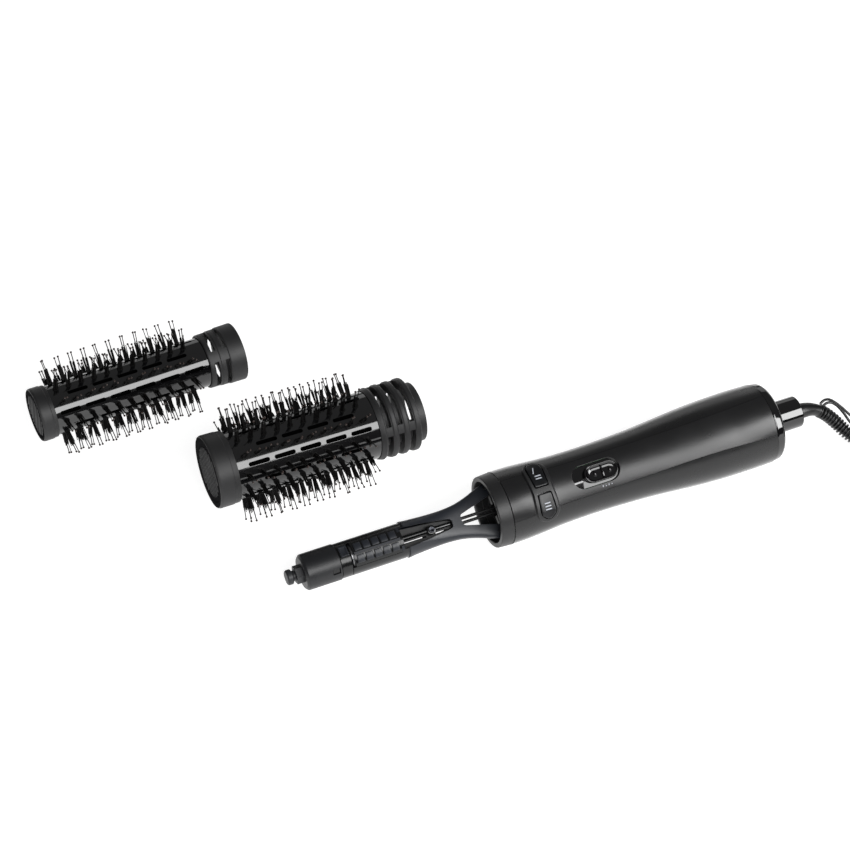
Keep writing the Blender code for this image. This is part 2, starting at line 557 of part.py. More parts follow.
def make_tip(hand, mats):
    """Gear motor, planetary gears and the drive pin that turns a brush head."""
    front_wall = TIP_FRONT + 1.8 * mm
    inner = TIP_RADIUS - 1.6 * mm
    neck = 3.4 * mm
    turned("gear_housing", [
        (TIP_FRONT, neck + RUN), (TIP_FRONT, TIP_RADIUS - 1 * mm), (TIP_FRONT + 1 * mm, TIP_RADIUS),
        (TIP_REAR, TIP_RADIUS), (TIP_REAR, inner), (front_wall, inner), (front_wall, neck + RUN),
    ], mats["spindle"], hand, steps=32)
    disc = front_wall + 0.5 * mm
    teeth_front = disc + 2.4 * mm + RUN
    teeth_rear = teeth_front + GEAR_FACE
    arm = MODULE * (SUN_TEETH + PLANET_TEETH) / 2
    ring = prism("ring_gear", circle(inner - GAP, 32), "x", teeth_front - 0.2 * mm, teeth_rear + 0.2 * mm,
                 mats["steel"], hand)
    combine(ring, "DIFFERENCE", prism("ring_teeth", gear_outline(RING_TEETH, -1), "x",
                                      teeth_front - 2 * mm, teeth_rear + 2 * mm, mats["steel"], hand))
    collar_rear = TIP_FRONT - RUN
    groove = collar_rear - HEX_LENGTH
    knob = groove - PIN_GROOVE
    pin = turned("drive_pin", [
        (knob - PIN_KNOB, 0), (knob - PIN_KNOB, PIN_KNOB_RADIUS - 1 * mm), (knob - PIN_KNOB + 1 * mm, PIN_KNOB_RADIUS),
        (knob, PIN_KNOB_RADIUS), (knob, neck), (disc, neck), (disc, inner - 2 * mm), (disc + 2.4 * mm, inner - 2 * mm),
        (disc + 2.4 * mm, 0),
    ], mats["pin"], hand, steps=24)
    combine(pin, "UNION", prism("hex_collar", circle(HEX_RADIUS, 6), "x", groove, collar_rear, mats["pin"], hand))
    for i in range(PLANETS):
        a = 2 * math.pi * i / PLANETS
        centre = (arm * math.cos(a), arm * math.sin(a))
        post = prism(f"planet_post_{i + 1}", circle(0.8 * mm, 10, centre), "x", disc + 1 * mm, teeth_rear + 0.6 * mm,
                     mats["pin"], hand)
        combine(pin, "UNION", post)
        axis = frame(f"planet_axis_{i + 1}", (0, *centre), (a, 0, 0))
        axis.parent = hand
        gear(f"planet_gear_{i + 1}", gear_outline(PLANET_TEETH, 1, math.pi / PLANET_TEETH), teeth_front, teeth_rear,
             0.8 * mm + 0.25 * mm, mats["brass"], axis)
    motor_front = RING_REAR + 1.4 * mm
    sun = prism("sun_gear", gear_outline(SUN_TEETH, 1), "x", teeth_front + 0.4 * mm, teeth_rear, mats["steel"], hand)
    combine(sun, "UNION", prism("motor_shaft", circle(1 * mm, 12), "x", teeth_rear - 1 * mm, motor_front + 6 * mm,
                                mats["steel"], hand))
    turned("gear_motor", tube_profile(motor_front, COVER_REAR - 4 * mm, 1 * mm + RUN, 9.6 * mm), mats["steel"], hand,
           steps=24)


def head_frame(name, place, yaw, height):
    return frame(name, (*place, height), (0, 0, yaw))


def rest_height(spec):
    """Height of a head's axis when it lies on the tips of two neighbouring rows."""
    half_step = math.pi / spec["rows"]
    return spec["tip_radius"] * math.cos(half_step) + TUFT_TIP_HALF * math.sin(half_step)


def make_head(size, spec, head, mats):
    """Front cap, slotted barrel, vented rear collar, drive socket and bristles of one brush head."""
    cap, barrel = spec["cap_radius"], spec["barrel_radius"]
    cap_wall = 2 * mm
    barrel_front = spec["cap_length"] - 6 * mm
    barrel_rear = spec["collar_start"] + 2.8 * mm
    skirt, barrel_inner = barrel + GAP, barrel - BARREL_WALL
    turned(f"{size}_front_cap", [
        (0, 0), (0, cap - 1.2 * mm), (1.2 * mm, cap), (spec["cap_length"], cap - 0.4 * mm), (spec["cap_length"], skirt),
        (barrel_front - GAP, skirt), (barrel_front - GAP, barrel_inner), (cap_wall, barrel_inner), (cap_wall, 0),
    ], mats["trim"], head)
    wall = turned(f"{size}_barrel", tube_profile(barrel_front, barrel_rear, barrel_inner, barrel),
                   mats["gloss"], head, steps=2 * spec["rows"], start=math.pi / (2 * spec["rows"]))
    combine(wall, "DIFFERENCE", barrel_slots(size, spec, head, mats))
    seat = HEAD_LENGTH + TIP_FRONT - RUN
    socket = turned(f"{size}_drive_socket", [
        (seat - HEX_LENGTH, 1 * mm), (seat - HEX_LENGTH, barrel_inner - GAP), (seat - 0.6 * mm, barrel_inner - GAP),
        (seat - 0.6 * mm, 1 * mm),
    ], mats["plastic"], head)
    combine(socket, "DIFFERENCE", prism(f"{size}_hex_bore", circle(HEX_RADIUS + 0.5 * mm, 6), "x", 0, 30 * mm,
                                        mats["plastic"], head))
    make_collar(size, spec, head, mats, barrel_rear)
    make_bristles(size, spec, head, mats)


def barrel_slots(size, spec, head, mats):
    """Every air slot of one barrel as one cutter: a ring of rows between the bristle rows."""
    bm = bmesh.new()
    radius, rows = spec["barrel_radius"], spec["rows"]
    first, last = spec["cap_length"] + 3 * mm, spec["collar_start"] - 3 * mm
    for row in range(rows):
        turn = Matrix.Rotation(2 * math.pi * row / rows + math.pi, 4, "X")
        start = first + (SLOT_PITCH / 2 if row % 2 else 0)
        for i in range(int((last - start - SLOT_LENGTH) / SLOT_PITCH) + 1):
            centre = Vector((start + SLOT_LENGTH / 2 + i * SLOT_PITCH, 0, radius))
            size_of = Matrix.Diagonal((SLOT_LENGTH, SLOT_WIDTH, 6 * mm, 1))
            bmesh.ops.create_cube(bm, size=1, matrix=turn @ Matrix.Translation(centre) @ size_of)
    return finish(f"{size}_slots", bm, mats["gloss"], head)


def make_collar(size, spec, head, mats, barrel_rear):
    """Rear collar: it holds the barrel, lets air out through its vents and runs in the mouth."""
    end = HEAD_LENGTH + SPIGOT_LENGTH
    start, outer = spec["collar_start"], spec["collar_radius"]
    bore = spec["barrel_radius"] + GAP
    inner = spec["barrel_radius"] - 1.2 * mm if outer < SPIGOT_RADIUS else SPIGOT_RADIUS - 1.7 * mm
    if outer > SPIGOT_RADIUS:
        outside = [(start, outer - 0.8 * mm), (start + 1 * mm, outer), (HEAD_LENGTH, outer), (HEAD_LENGTH, SPIGOT_RADIUS)]
    else:
        outside = [(start, outer), (HEAD_LENGTH - 6 * mm, outer + 0.6 * mm), (HEAD_LENGTH, SPIGOT_RADIUS)]
    collar = turned(f"{size}_rear_collar", [(start, bore)] + outside + [
        (end, SPIGOT_RADIUS), (end, inner), (barrel_rear + GAP, inner), (barrel_rear + GAP, bore),
    ], mats["trim"], head, steps=36)
    for row in range(spec["vent_rows"]):
        x = spec["vent_start"] + row * spec["vent_pitch"]
        for i in range(spec["vent_count"]):
            middle = 2 * math.pi * i / spec["vent_count"] + spec["vent_turn"]
            outline = ring_sector(inner - 3 * mm, outer + 4 * mm, middle, spec["vent_angle"])
            combine(collar, "DIFFERENCE", prism(f"{size}_vent_{row}_{i}", outline, "x", x, x + spec["vent_width"],
                                                mats["trim"], head))


def make_bristles(size, spec, head, mats):
    """Rows of tapered tufts on thin strips, joined at the front by a ring."""
    rows, foot = spec["rows"], spec["barrel_radius"] + GAP
    start, end = spec["cap_length"] + GAP, spec["collar_start"] - 2 * mm
    cage = turned(f"{size}_bristles", tube_profile(start, start + RING_WIDTH, foot, foot + STRIP_HEIGHT),
                  mats["bristle"], head, steps=3 * rows)
    bm = bmesh.new()
    for row in range(rows):
        turn = Matrix.Rotation(2 * math.pi * (row + 0.5) / rows + math.pi, 4, "X")
        centre = start + RING_WIDTH + 4 * mm
        centres = []
        while centre < end - 3 * mm:
            centres.append(centre)
            centre += TUFT_PITCH
        bristle_strip(bm, centres, start + RING_WIDTH / 2, end, foot, spec["tip_radius"], turn)
    combine(cage, "UNION", finish(f"{size}_bristle_strips", bm, mats["bristle"], head))


def bristle_strip(bm, centres, x0, x1, foot, tip_radius, turn):
    """One strip: a flat bar whose top runs up to a tapered tuft at each centre."""
    top = foot + STRIP_HEIGHT
    outline = [(x1, foot), (x0, foot), (x0, top)]
    for centre in centres:
        outline += [(centre - TUFT_FOOT / 2, top), (centre, tip_radius), (centre + TUFT_FOOT / 2, top)]
    outline.append((x1, top))
    near = [bm.verts.new((x, -STRIP_WIDTH / 2, z)) for x, z in outline]
    raised = bmesh.ops.extrude_face_region(bm, geom=[bm.faces.new(near)])
    far = [v for v in raised["geom"] if isinstance(v, bmesh.types.BMVert)]
    bmesh.ops.translate(bm, verts=far, vec=(0, STRIP_WIDTH, 0))
    tips = [v for v in near + far if v.co.z == max(u.co.z for u in far)]
    bmesh.ops.scale(bm, verts=tips, vec=(1, 2 * TUFT_TIP_HALF / STRIP_WIDTH, 1))
    bmesh.ops.transform(bm, verts=near + far, matrix=turn)


def smooth_route(route, spacing):
    """Points every spacing along a smooth curve through the route's own points."""
    ends = [2 * Vector(route[0]) - Vector(route[1]), 2 * Vector(route[-1]) - Vector(route[-2])]
    points = [ends[0]] + [Vector(p) for p in route] + [ends[1]]
    found = []
    for a, b, c, d in zip(points, points[1:], points[2:], points[3:]):
        steps = max(1, round((c - b).length / spacing))
        for i in range(steps):
            t = i / steps
            found.append(0.5 * (2 * b + (c - a) * t + (2 * a - 5 * b + 4 * c - d) * t**2
                                + (3 * b - a - 3 * c + d) * t**3))
    return found + [Vector(route[-1])]


def tube(name, points, radius, mat, parent=None, radii=None, resolution=2):
    curve = bpy.data.curves.new(name, "CURVE")
    curve.dimensions = "3D"
    curve.bevel_depth = radius
    curve.bevel_resolution = resolution
    curve.use_fill_caps = True
    spline = curve.splines.new("POLY")
    spline.points.add(len(points) - 1)
    for i, (target, point) in enumerate(zip(spline.points, points)):
        target.co = (*point, 1)
        target.radius = radii[i] / radius if radii else 1
    curve.materials.append(mat)
    obj = bpy.data.objects.new(name, curve)
    bpy.context.scene.collection.objects.link(obj)
    obj.parent = parent
    return obj


def metres(route):
    return [Vector(p) * mm for p in route]


def make_cord(mats, hand):
    """Swivel sleeve, strain relief with its hanging loop, cord, coil and two-pin plug."""
    rear = BODY_REAR + GAP
    neck = SLEEVE_RADIUS - 2 * mm
    flange_rear = rear + 0.6 * mm - RUN
    sleeve_front = rear + 3.4 * mm + RUN
    end = BODY_REAR + 2 * GAP + REAR_RING_LENGTH + SLEEVE_LENGTH
    turned("swivel_sleeve", [
        (flange_rear - 3 * mm, 4 * mm), (flange_rear - 3 * mm, SLEEVE_RADIUS), (flange_rear, SLEEVE_RADIUS),
        (flange_rear, neck), (sleeve_front, neck), (sleeve_front, SLEEVE_RADIUS), (end - 1 * mm, SLEEVE_RADIUS),
        (end, SLEEVE_RADIUS - 1 * mm), (end, 4 * mm),
    ], mats["gloss"], hand, steps=32)
    relief = smooth_route(metres(RELIEF_ROUTE), 3.2 * mm)
    span = len(relief) - 1
    radii = [RELIEF_START_RADIUS + (RELIEF_END_RADIUS - RELIEF_START_RADIUS) * i / span for i in range(span + 1)]
    tube("strain_relief", relief, RELIEF_START_RADIUS, mats["rubber"], radii=radii, resolution=3)
    tube("hanging_loop", smooth_route(metres(LOOP_ROUTE), 3.4 * mm), LOOP_RADIUS, mats["rubber"], resolution=1)
    tube("cord", smooth_route(metres(CORD_ROUTE), 8 * mm), CORD_RADIUS, mats["rubber"])
    tube("cord_tail", smooth_route(metres(TAIL_ROUTE), 8 * mm), CORD_RADIUS, mats["rubber"])
    coil = frame("coil_axis", Vector((*COIL_CENTRE, 0)) * mm, (0, -math.pi / 2, 0))
    rise = 1.5 * mm
    turned("cord_coil", [
        (0.1 * mm, COIL_INNER + rise), (0.1 * mm, COIL_OUTER - rise), (rise, COIL_OUTER),
        (COIL_HEIGHT - rise, COIL_OUTER), (COIL_HEIGHT, COIL_OUTER - rise), (COIL_HEIGHT, COIL_INNER + rise),
        (COIL_HEIGHT - rise, COIL_INNER), (rise, COIL_INNER),
    ], mats["rubber"], coil, steps=24)
    make_plug(mats)


def make_plug(mats):
    """A moulded two-pin mains plug that lies flat beside the coil."""
    axis = frame("plug_axis", (PLUG_X, PLUG_REAR_Y, PLUG_Z), (0, 0, math.pi / 2))
    rings = [superellipse(x, w, h, p, count=20) for x, w, h, p in (
        (0, 5.2 * mm, 5.2 * mm, 2), (9 * mm, 6.5 * mm, 6.2 * mm, 2), (15 * mm, 13 * mm, 10 * mm, 2.6),
        (20 * mm, 17.4 * mm, 12 * mm, 3), (PLUG_LENGTH, 17.8 * mm, 12.2 * mm, 3),
    )]
    lofted("plug_body", rings, mats["plastic"], axis)
    for side, name in ((-1, "plug_pin_1"), (1, "plug_pin_2")):
        centre = (side * PIN_SPACING / 2, 0)
        pin = prism(name, circle(PIN_RADIUS, 14, centre), "x", PLUG_LENGTH + GAP, PLUG_LENGTH + PIN_LENGTH,
                    mats["brass"], axis)
        bevel = pin.modifiers.new("rounded tip", "BEVEL")
        bevel.width = 0.6 * mm
        bevel.segments = 1
        bevel.limit_method = "ANGLE"
        bevel.angle_limit = math.radians(60)


def make_materials():
    return {
        "shell": material("soft touch black", (0.018, 0.018, 0.019), 0.42),
        "panel": material("soft touch panel", (0.020, 0.020, 0.021), 0.36),
        "gloss": material("gloss black ABS", (0.010, 0.010, 0.011), 0.12),
        "button": material("navy black buttons", (0.012, 0.014, 0.022), 0.3),
        "trim": material("charcoal nylon", (0.042, 0.042, 0.043), 0.5),
        "spindle": material("blue grey nylon", (0.025, 0.029, 0.036), 0.38),
        "pin": material("dark acetal", (0.030, 0.032, 0.035), 0.5),
        "bristle": material("black nylon bristle", (0.012, 0.011, 0.011), 0.35),
        "plastic": material("black nylon", (0.015, 0.015, 0.016), 0.5),
        "rubber": material("black PVC", (0.016, 0.016, 0.017), 0.45),
        "steel": material("steel", (0.5, 0.5, 0.5), 0.35, 1),
        "brass": material("brass", (0.6, 0.48, 0.25), 0.35, 1),
        "mica": material("mica", (0.45, 0.38, 0.28), 0.6),
        "board": material("circuit board", (0.05, 0.16, 0.07), 0.5),
    }


def make_handle_frame():
    """The handle lies on its front and on its wide rear, so its axis climbs a little towards the rear."""
    tilt = math.asin((BELLY_RADIUS - BODY_FRONT_RADIUS) / (BELLY_END - BODY_FRONT_END))
    height = max((body_radius(x) - x * math.sin(tilt)) / math.cos(tilt) for x in body_stations())
    return frame("handle_frame", (*HANDLE_PLACE, height), (HANDLE_ROLL, -tilt, 0))


def main():
    clear_scene()
    mats = make_materials()
    hand = make_handle_frame()
    make_casing(hand, mats)
    make_controls(hand, mats)
    make_heater(hand, mats)
    make_fan(hand, mats)
    make_rear(hand, mats)
    make_outlet(hand, mats)
    make_spindle(hand, mats)
    make_tip(hand, mats)
    for size, place, yaw in (("large", LARGE_HEAD_PLACE, 0), ("small", SMALL_HEAD_PLACE, SMALL_HEAD_YAW)):
        spec = HEADS[size]
        make_head(size, spec, head_frame(f"{size}_head_frame", place, yaw, rest_height(spec)), mats)
    make_cord(mats, hand)


main()
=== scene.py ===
import math
import random

import bmesh
import bpy
from mathutils import Euler, Matrix, Vector


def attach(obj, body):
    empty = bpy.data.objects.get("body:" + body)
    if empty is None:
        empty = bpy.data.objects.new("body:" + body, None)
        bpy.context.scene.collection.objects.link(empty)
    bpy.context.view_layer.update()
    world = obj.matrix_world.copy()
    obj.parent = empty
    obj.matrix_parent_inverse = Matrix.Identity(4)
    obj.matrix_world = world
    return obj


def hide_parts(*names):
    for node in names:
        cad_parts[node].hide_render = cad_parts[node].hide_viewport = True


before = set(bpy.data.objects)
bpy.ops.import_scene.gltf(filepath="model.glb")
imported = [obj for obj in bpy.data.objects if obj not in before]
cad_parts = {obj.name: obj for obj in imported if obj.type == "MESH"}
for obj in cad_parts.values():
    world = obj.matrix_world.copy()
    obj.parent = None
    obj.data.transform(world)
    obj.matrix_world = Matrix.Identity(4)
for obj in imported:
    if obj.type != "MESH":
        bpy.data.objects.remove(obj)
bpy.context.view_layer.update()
mm = 0.001
full = 2 * math.pi

# Where the three items lie, the same places as in the solid model
tilt = math.asin(3.1 / 173.9)  # the handle rests on its front and its belly
handleTurn = Euler((math.radians(35.5), -tilt, 0))
handlePlace = Matrix.LocRotScale(Vector((6.03, -105.44, 24.741)) * mm, handleTurn, None)


def headPlace(x, y, height, yaw):
    return Matrix.LocRotScale(Vector((x, y, height)) * mm, Euler((0, 0, math.radians(yaw))), None)


def rgb(code):
    # "#rrggbb" in sRGB as the linear colour that a shader takes
    parts = [int(code[i:i + 2], 16) / 255 for i in (1, 3, 5)]
    return (*[p / 12.92 if p <= 0.04045 else ((p + 0.055) / 1.055) ** 2.4 for p in parts], 1)


def addNode(tree, kind, settings=(), inputs=()):
    # one node: its settings by name, then each input as a value or as another node's output
    made = tree.nodes.new(kind)
    for name, value in dict(settings).items():
        setattr(made, name, value)
    for name, value in dict(inputs).items():
        if isinstance(value, bpy.types.NodeSocket):
            tree.links.new(value, made.inputs[name])
        else:
            made.inputs[name].default_value = value
    return made


def loose(name, bm):
    # the bmesh as a linked object, with doubles merged and faces turned outwards
    bmesh.ops.remove_doubles(bm, verts=bm.verts, dist=2e-6)
    bmesh.ops.recalc_face_normals(bm, faces=bm.faces)
    mesh = bpy.data.meshes.new(name)
    bm.to_mesh(mesh)
    bm.free()
    obj = bpy.data.objects.new(name, mesh)
    bpy.context.scene.collection.objects.link(obj)
    return obj


def settle(obj):
    # the object's modifiers become its mesh
    bpy.context.view_layer.update()
    graph = bpy.context.evaluated_depsgraph_get()
    before, obj.data = obj.data, bpy.data.meshes.new_from_object(obj.evaluated_get(graph), depsgraph=graph)
    obj.modifiers.clear()
    bpy.data.meshes.remove(before)


def carve(obj, bm, operation="DIFFERENCE"):
    # the bmesh cut out of the object, or joined to it
    tool = loose("tool", bm)
    step = obj.modifiers.new("carve", "BOOLEAN")
    step.operation, step.object = operation, tool
    settle(obj)
    bpy.data.meshes.remove(tool.data)


def wall(obj, thickness):
    # a thickness added on the inside of a surface
    step = obj.modifiers.new("wall", "SOLIDIFY")
    step.thickness, step.offset, step.use_even_offset = thickness, -1, True
    settle(obj)


def soften(obj, width, limit=38):
    # edges sharper than limit degrees rounded over
    step = obj.modifiers.new("soft edges", "BEVEL")
    step.width, step.segments, step.limit_method = width, 2, "ANGLE"
    step.angle_limit = math.radians(limit)
    step.use_clamp_overlap = True
    settle(obj)


def finish(obj, name, finishOf, body, place, stands=(), crease=32, even=False):
    # the object takes its place, finish and body, and hides the plain solids that it stands for
    obj.name = obj.data.name = name
    obj.data.transform(place)
    obj.data.materials.clear()
    obj.data.materials.append(finishOf)
    obj.data.shade_smooth()
    obj.data.set_sharp_from_angle(angle=math.radians(crease))
    if even:
        step = obj.modifiers.new("even shading", "WEIGHTED_NORMAL")
        step.keep_sharp = True
    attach(obj, body)
    if stands:
        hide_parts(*stands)


def spun(profile, steps=72, closed=True):
    # turns (x, radius) points, in mm, about X
    bm = bmesh.new()
    verts = [bm.verts.new((x * mm, 0, r * mm)) for x, r in profile]
    pairs = list(zip(verts, verts[1:])) + ([(verts[-1], verts[0])] if closed else [])
    edges = [bm.edges.new(pair) for pair in pairs]
    bmesh.ops.spin(bm, geom=verts + edges, cent=(0, 0, 0), axis=(1, 0, 0), angle=full, steps=steps,
                   use_merge=True)
    return bm


def eased(points, corner=0.6, steps=3):
    # (x, radius) points with each corner rounded by an arc-like curve that starts corner mm away
    found = []
    for a, b, c in zip(points[-1:] + points[:-1], points, points[1:] + points[:1]):
        a, b, c = Vector(a), Vector(b), Vector(c)
        reach = min(corner, (a - b).length * 0.45, (c - b).length * 0.45)
        start, end = b + (a - b).normalized() * reach, b + (c - b).normalized() * reach
        for i in range(steps + 1):
            t = i / steps
            found.append(tuple((1 - t) ** 2 * start + 2 * t * (1 - t) * b + t**2 * end))
    return found


def stadium(bm, length, width, centre=(0, 0, 0), low=-1, high=1, turn=None, arc=10):
    # a block with half-round ends, long along X and high along Z, added to bm
    made = bmesh.ops.create_circle(bm, cap_ends=True, segments=2 * arc, radius=width / 2 * mm)
    for v in made["verts"]:
        v.co.x += math.copysign((length - width) / 2 * mm, v.co.x if abs(v.co.x) > 1e-9 else 1)
    bmesh.ops.translate(bm, verts=made["verts"], vec=(0, 0, low * mm))
    face = made["verts"][0].link_faces[0]
    raised = bmesh.ops.extrude_face_region(bm, geom=[face])
    top = [v for v in raised["geom"] if isinstance(v, bmesh.types.BMVert)]
    bmesh.ops.translate(bm, verts=top, vec=(0, 0, (high - low) * mm))
    place = Matrix.Translation(Vector(centre) * mm) @ (turn or Matrix.Identity(4))
    bmesh.ops.transform(bm, verts=made["verts"] + top, matrix=place)


def block(bm, low, high, turn=None):
    # a box between two corners in mm, added to bm
    low, high = Vector(low) * mm, Vector(high) * mm
    place = Matrix.Translation((low + high) / 2) @ Matrix.Diagonal((*(high - low), 1))
    bmesh.ops.create_cube(bm, size=1, matrix=(turn or Matrix.Identity(4)) @ place)


def outlined(bm, points, low, high, turn=None):
    # a block over a flat outline of (x, y) points in mm, added to bm
    verts = [bm.verts.new((x * mm, y * mm, low * mm)) for x, y in points]
    raised = bmesh.ops.extrude_face_region(bm, geom=[bm.faces.new(verts)])
    top = [v for v in raised["geom"] if isinstance(v, bmesh.types.BMVert)]
    bmesh.ops.translate(bm, verts=top, vec=(0, 0, (high - low) * mm))
    bmesh.ops.transform(bm, verts=verts + top, matrix=turn or Matrix.Identity(4))


def smoothRoute(route, spacing):
    # points in metres, spacing mm apart along a smooth curve through the route's points in mm
    ends = [2 * Vector(route[0]) - Vector(route[1]), 2 * Vector(route[-1]) - Vector(route[-2])]
    points = [ends[0]] + [Vector(p) for p in route] + [ends[1]]
    found = []
    for a, b, c, d in zip(points, points[1:], points[2:], points[3:]):
        steps = max(1, round((c - b).length / spacing))
        for i in range(steps):
            t = i / steps
            found.append(0.5 * (2 * b + (c - a) * t + (2 * a - 5 * b + 4 * c - d) * t**2
                                + (3 * b - a - 3 * c + d) * t**3) * mm)
    return found + [Vector(route[-1]) * mm]


def tube(name, points, radius, finishOf, body, stands=(), radii=None, sides=4):
    # a round tube along points in metres
    curve = bpy.data.curves.new(name, "CURVE")
    curve.dimensions, curve.bevel_depth, curve.bevel_resolution = "3D", radius * mm, sides
    curve.use_fill_caps = True
    line = curve.splines.new("POLY")
    line.points.add(len(points) - 1)
    for i, (target, point) in enumerate(zip(line.points, points)):
        target.co = (*point, 1)
        target.radius = radii[i] / radius if radii else 1
    line.use_smooth = True
    curve.materials.append(finishOf)
    obj = bpy.data.objects.new(name, curve)
    bpy.context.scene.collection.objects.link(obj)
    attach(obj, body)
    if stands:
        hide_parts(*stands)
    return obj


# camera, light and table
studio = {
    "eye": (-0.4811, -1.0984, 1.1218), "azimuth": 24.05, "elevation": 42.70, "roll": 0.20, "lens": 101.6,
    "tableGlow": 0.86, "tableColour": "#b4b4b4",
    "tableSize": (0.95, 0.75), "tableBack": 0.22, "skyLow": 0.07, "skyHigh": 0.17,
}
# each lamp: name, place, target, width, depth and strength, which is its radiance
lamps = [
    ("key softbox", (-0.1, -2.05, 1.52), (0.0, -0.02, 0.03), 2.2, 1.15, 6.0),
    ("side softbox", (0.86, -1.02, 0.72), (0.24, -0.1, 0.03), 0.42, 0.9, 11.0),
    ("back panel", (0.9, 1.9, 0.75), (0.0, 0.0, 0.03), 3.0, 0.9, 0.7),
]
print("studio")
camera = bpy.data.objects.new("camera", bpy.data.cameras.new("camera"))
camera.data.lens, camera.data.sensor_width = studio["lens"], 36
camera.data.clip_end = 20
facing = Euler((math.radians(90 - studio["elevation"]), 0, -math.radians(studio["azimuth"])))
camera.matrix_world = (Matrix.Translation(studio["eye"]) @ facing.to_matrix().to_4x4()
                       @ Matrix.Rotation(math.radians(studio["roll"]), 4, "Z"))
bpy.context.scene.collection.objects.link(camera)
bpy.context.scene.camera = camera
bpy.context.scene.view_settings.view_transform = "Standard"

# white acrylic light table: it glows a little, so shadows stay faint
tableFinish = bpy.data.materials.new("white acrylic light table")
tableFinish.use_nodes = True
tableShader = tableFinish.node_tree.nodes["Principled BSDF"]
tableShader.inputs["Base Color"].default_value = rgb(studio["tableColour"])
tableShader.inputs["Roughness"].default_value = 0.9
tableShader.inputs["Specular IOR Level"].default_value = 0.1
tableShader.inputs["Emission Color"].default_value = (1, 1, 1, 1)
tableShader.inputs["Emission Strength"].default_value = studio["tableGlow"]
bm = bmesh.new()
bmesh.ops.create_grid(bm, x_segments=1, y_segments=1, size=1)
bmesh.ops.scale(bm, vec=(*studio["tableSize"], 1), verts=bm.verts)
bmesh.ops.translate(bm, vec=(0, studio["tableBack"], 0), verts=bm.verts)
table = loose("table", bm)
table.data.materials.append(tableFinish)

world = bpy.data.worlds.new("white tent")
bpy.context.scene.world = world
world.use_nodes = True
tree = world.node_tree
tree.nodes.clear()
direction = addNode(tree, "ShaderNodeTexCoord")
split = addNode(tree, "ShaderNodeSeparateXYZ", inputs={"Vector": direction.outputs["Generated"]})
height = addNode(tree, "ShaderNodeMapRange", {"interpolation_type": "SMOOTHSTEP"}, {
    "Value": split.outputs["Z"], "From Min": 0.0, "From Max": 0.9,
    "To Min": studio["skyLow"], "To Max": studio["skyHigh"]})
sky = addNode(tree, "ShaderNodeBackground", inputs={
    "Color": (1, 1, 1, 1), "Strength": height.outputs["Result"]})
addNode(tree, "ShaderNodeOutputWorld", inputs={"Surface": sky.outputs["Background"]})

for name, place, target, width, depth, strength in lamps:
    lamp = bpy.data.lights.new(name, "AREA")
    lamp.shape, lamp.size, lamp.size_y = "RECTANGLE", width, depth
    lamp.energy = strength * math.pi * width * depth
    obj = bpy.data.objects.new(name, lamp)
    aim = (Vector(target) - Vector(place)).to_track_quat("-Z", "Y")
    obj.matrix_world = Matrix.Translation(place) @ aim.to_matrix().to_4x4()
    bpy.context.scene.collection.objects.link(obj)

print("finishes")


def moulded(name, colour, roughness, grain=1.2, depth=0.02, vary=0.04, shine=0.5, metal=0.0, sheen=0.0):
    # a moulded or cast surface: gloss that drifts a little, and a grain of so many mm drawn by a shallow bump
    made = bpy.data.materials.new(name)
    made.use_nodes = True
    tree = made.node_tree
    shader = tree.nodes["Principled BSDF"]
    shader.inputs["Base Color"].default_value = rgb(colour)
    shader.inputs["Specular IOR Level"].default_value = shine
    shader.inputs["Metallic"].default_value = metal
    shader.inputs["Sheen Weight"].default_value = sheen
    shader.inputs["Sheen Roughness"].default_value = 0.25
    where = addNode(tree, "ShaderNodeTexCoord").outputs["Object"]
    drift = addNode(tree, "ShaderNodeTexNoise", inputs={"Vector": where, "Scale": 55, "Detail": 3})
    gloss = addNode(tree, "ShaderNodeMapRange", inputs={
        "Value": drift.outputs["Fac"], "From Min": 0.3, "From Max": 0.7,
        "To Min": roughness - vary, "To Max": roughness + vary})
    tree.links.new(gloss.outputs["Result"], shader.inputs["Roughness"])
    fine = addNode(tree, "ShaderNodeTexNoise", inputs={"Vector": where, "Scale": 1000 / grain, "Detail": 2})
    bump = addNode(tree, "ShaderNodeBump", inputs={"Height": fine.outputs["Fac"], "Strength": 0.6,
                                                   "Distance": depth * mm})
    tree.links.new(bump.outputs["Normal"], shader.inputs["Normal"])
    return made


# soft-touch lacquer on ABS: a wide, soft sheen that whitens at the silhouettes, less so on the panel
softTouch = moulded("soft-touch lacquered ABS", "#0f0f10", 0.29, grain=0.9, depth=0.004, sheen=0.8)
panelTouch = moulded("soft-touch lacquered panel", "#121213", 0.31, grain=0.9, depth=0.004, sheen=0.2)
# bare moulded ABS with fine spark erosion: a little greyer and drier than the lacquer
sparkAbs = moulded("spark-eroded black ABS", "#171718", 0.42, grain=1.0)
# polished ABS: mirror-like patches of the lamps on near black
glossAbs = moulded("polished black ABS", "#060607", 0.055, grain=6, depth=0.004, vary=0.015, shine=0.8)
# polished polycarbonate sleeve of the brushes: hard gloss with narrow lamp stripes
glossBarrel = moulded("polished black polycarbonate", "#070708", 0.075, grain=7, depth=0.01, vary=0.02,
                      shine=0.95)
# the two keys: satin, a touch bluer than the body
navyAbs = moulded("navy black satin ABS", "#090a0d", 0.34, depth=0.01, shine=0.4)
# glass-filled nylon: matte charcoal, slightly mottled
charcoalNylon = moulded("charcoal nylon", "#181819", 0.52, grain=1.1, depth=0.03, vary=0.05)
# the caps' faces: the same nylon off a duller mould wall, dark even at a low angle
dryNylon = moulded("dull charcoal nylon", "#232324", 0.6, grain=1.1, shine=0.0)
# the tube under the slots is painted shade: near black and without shine, so a slot reads as a dark hole
slotShadeBlack = moulded("painted slot shade black", "#040404", 0.7, depth=0.0, shine=0.0)
# heat-proof PBT: cool blue-grey satin
blueGreyPbt = moulded("blue-grey PBT", "#1b1e24", 0.38, grain=1.3)
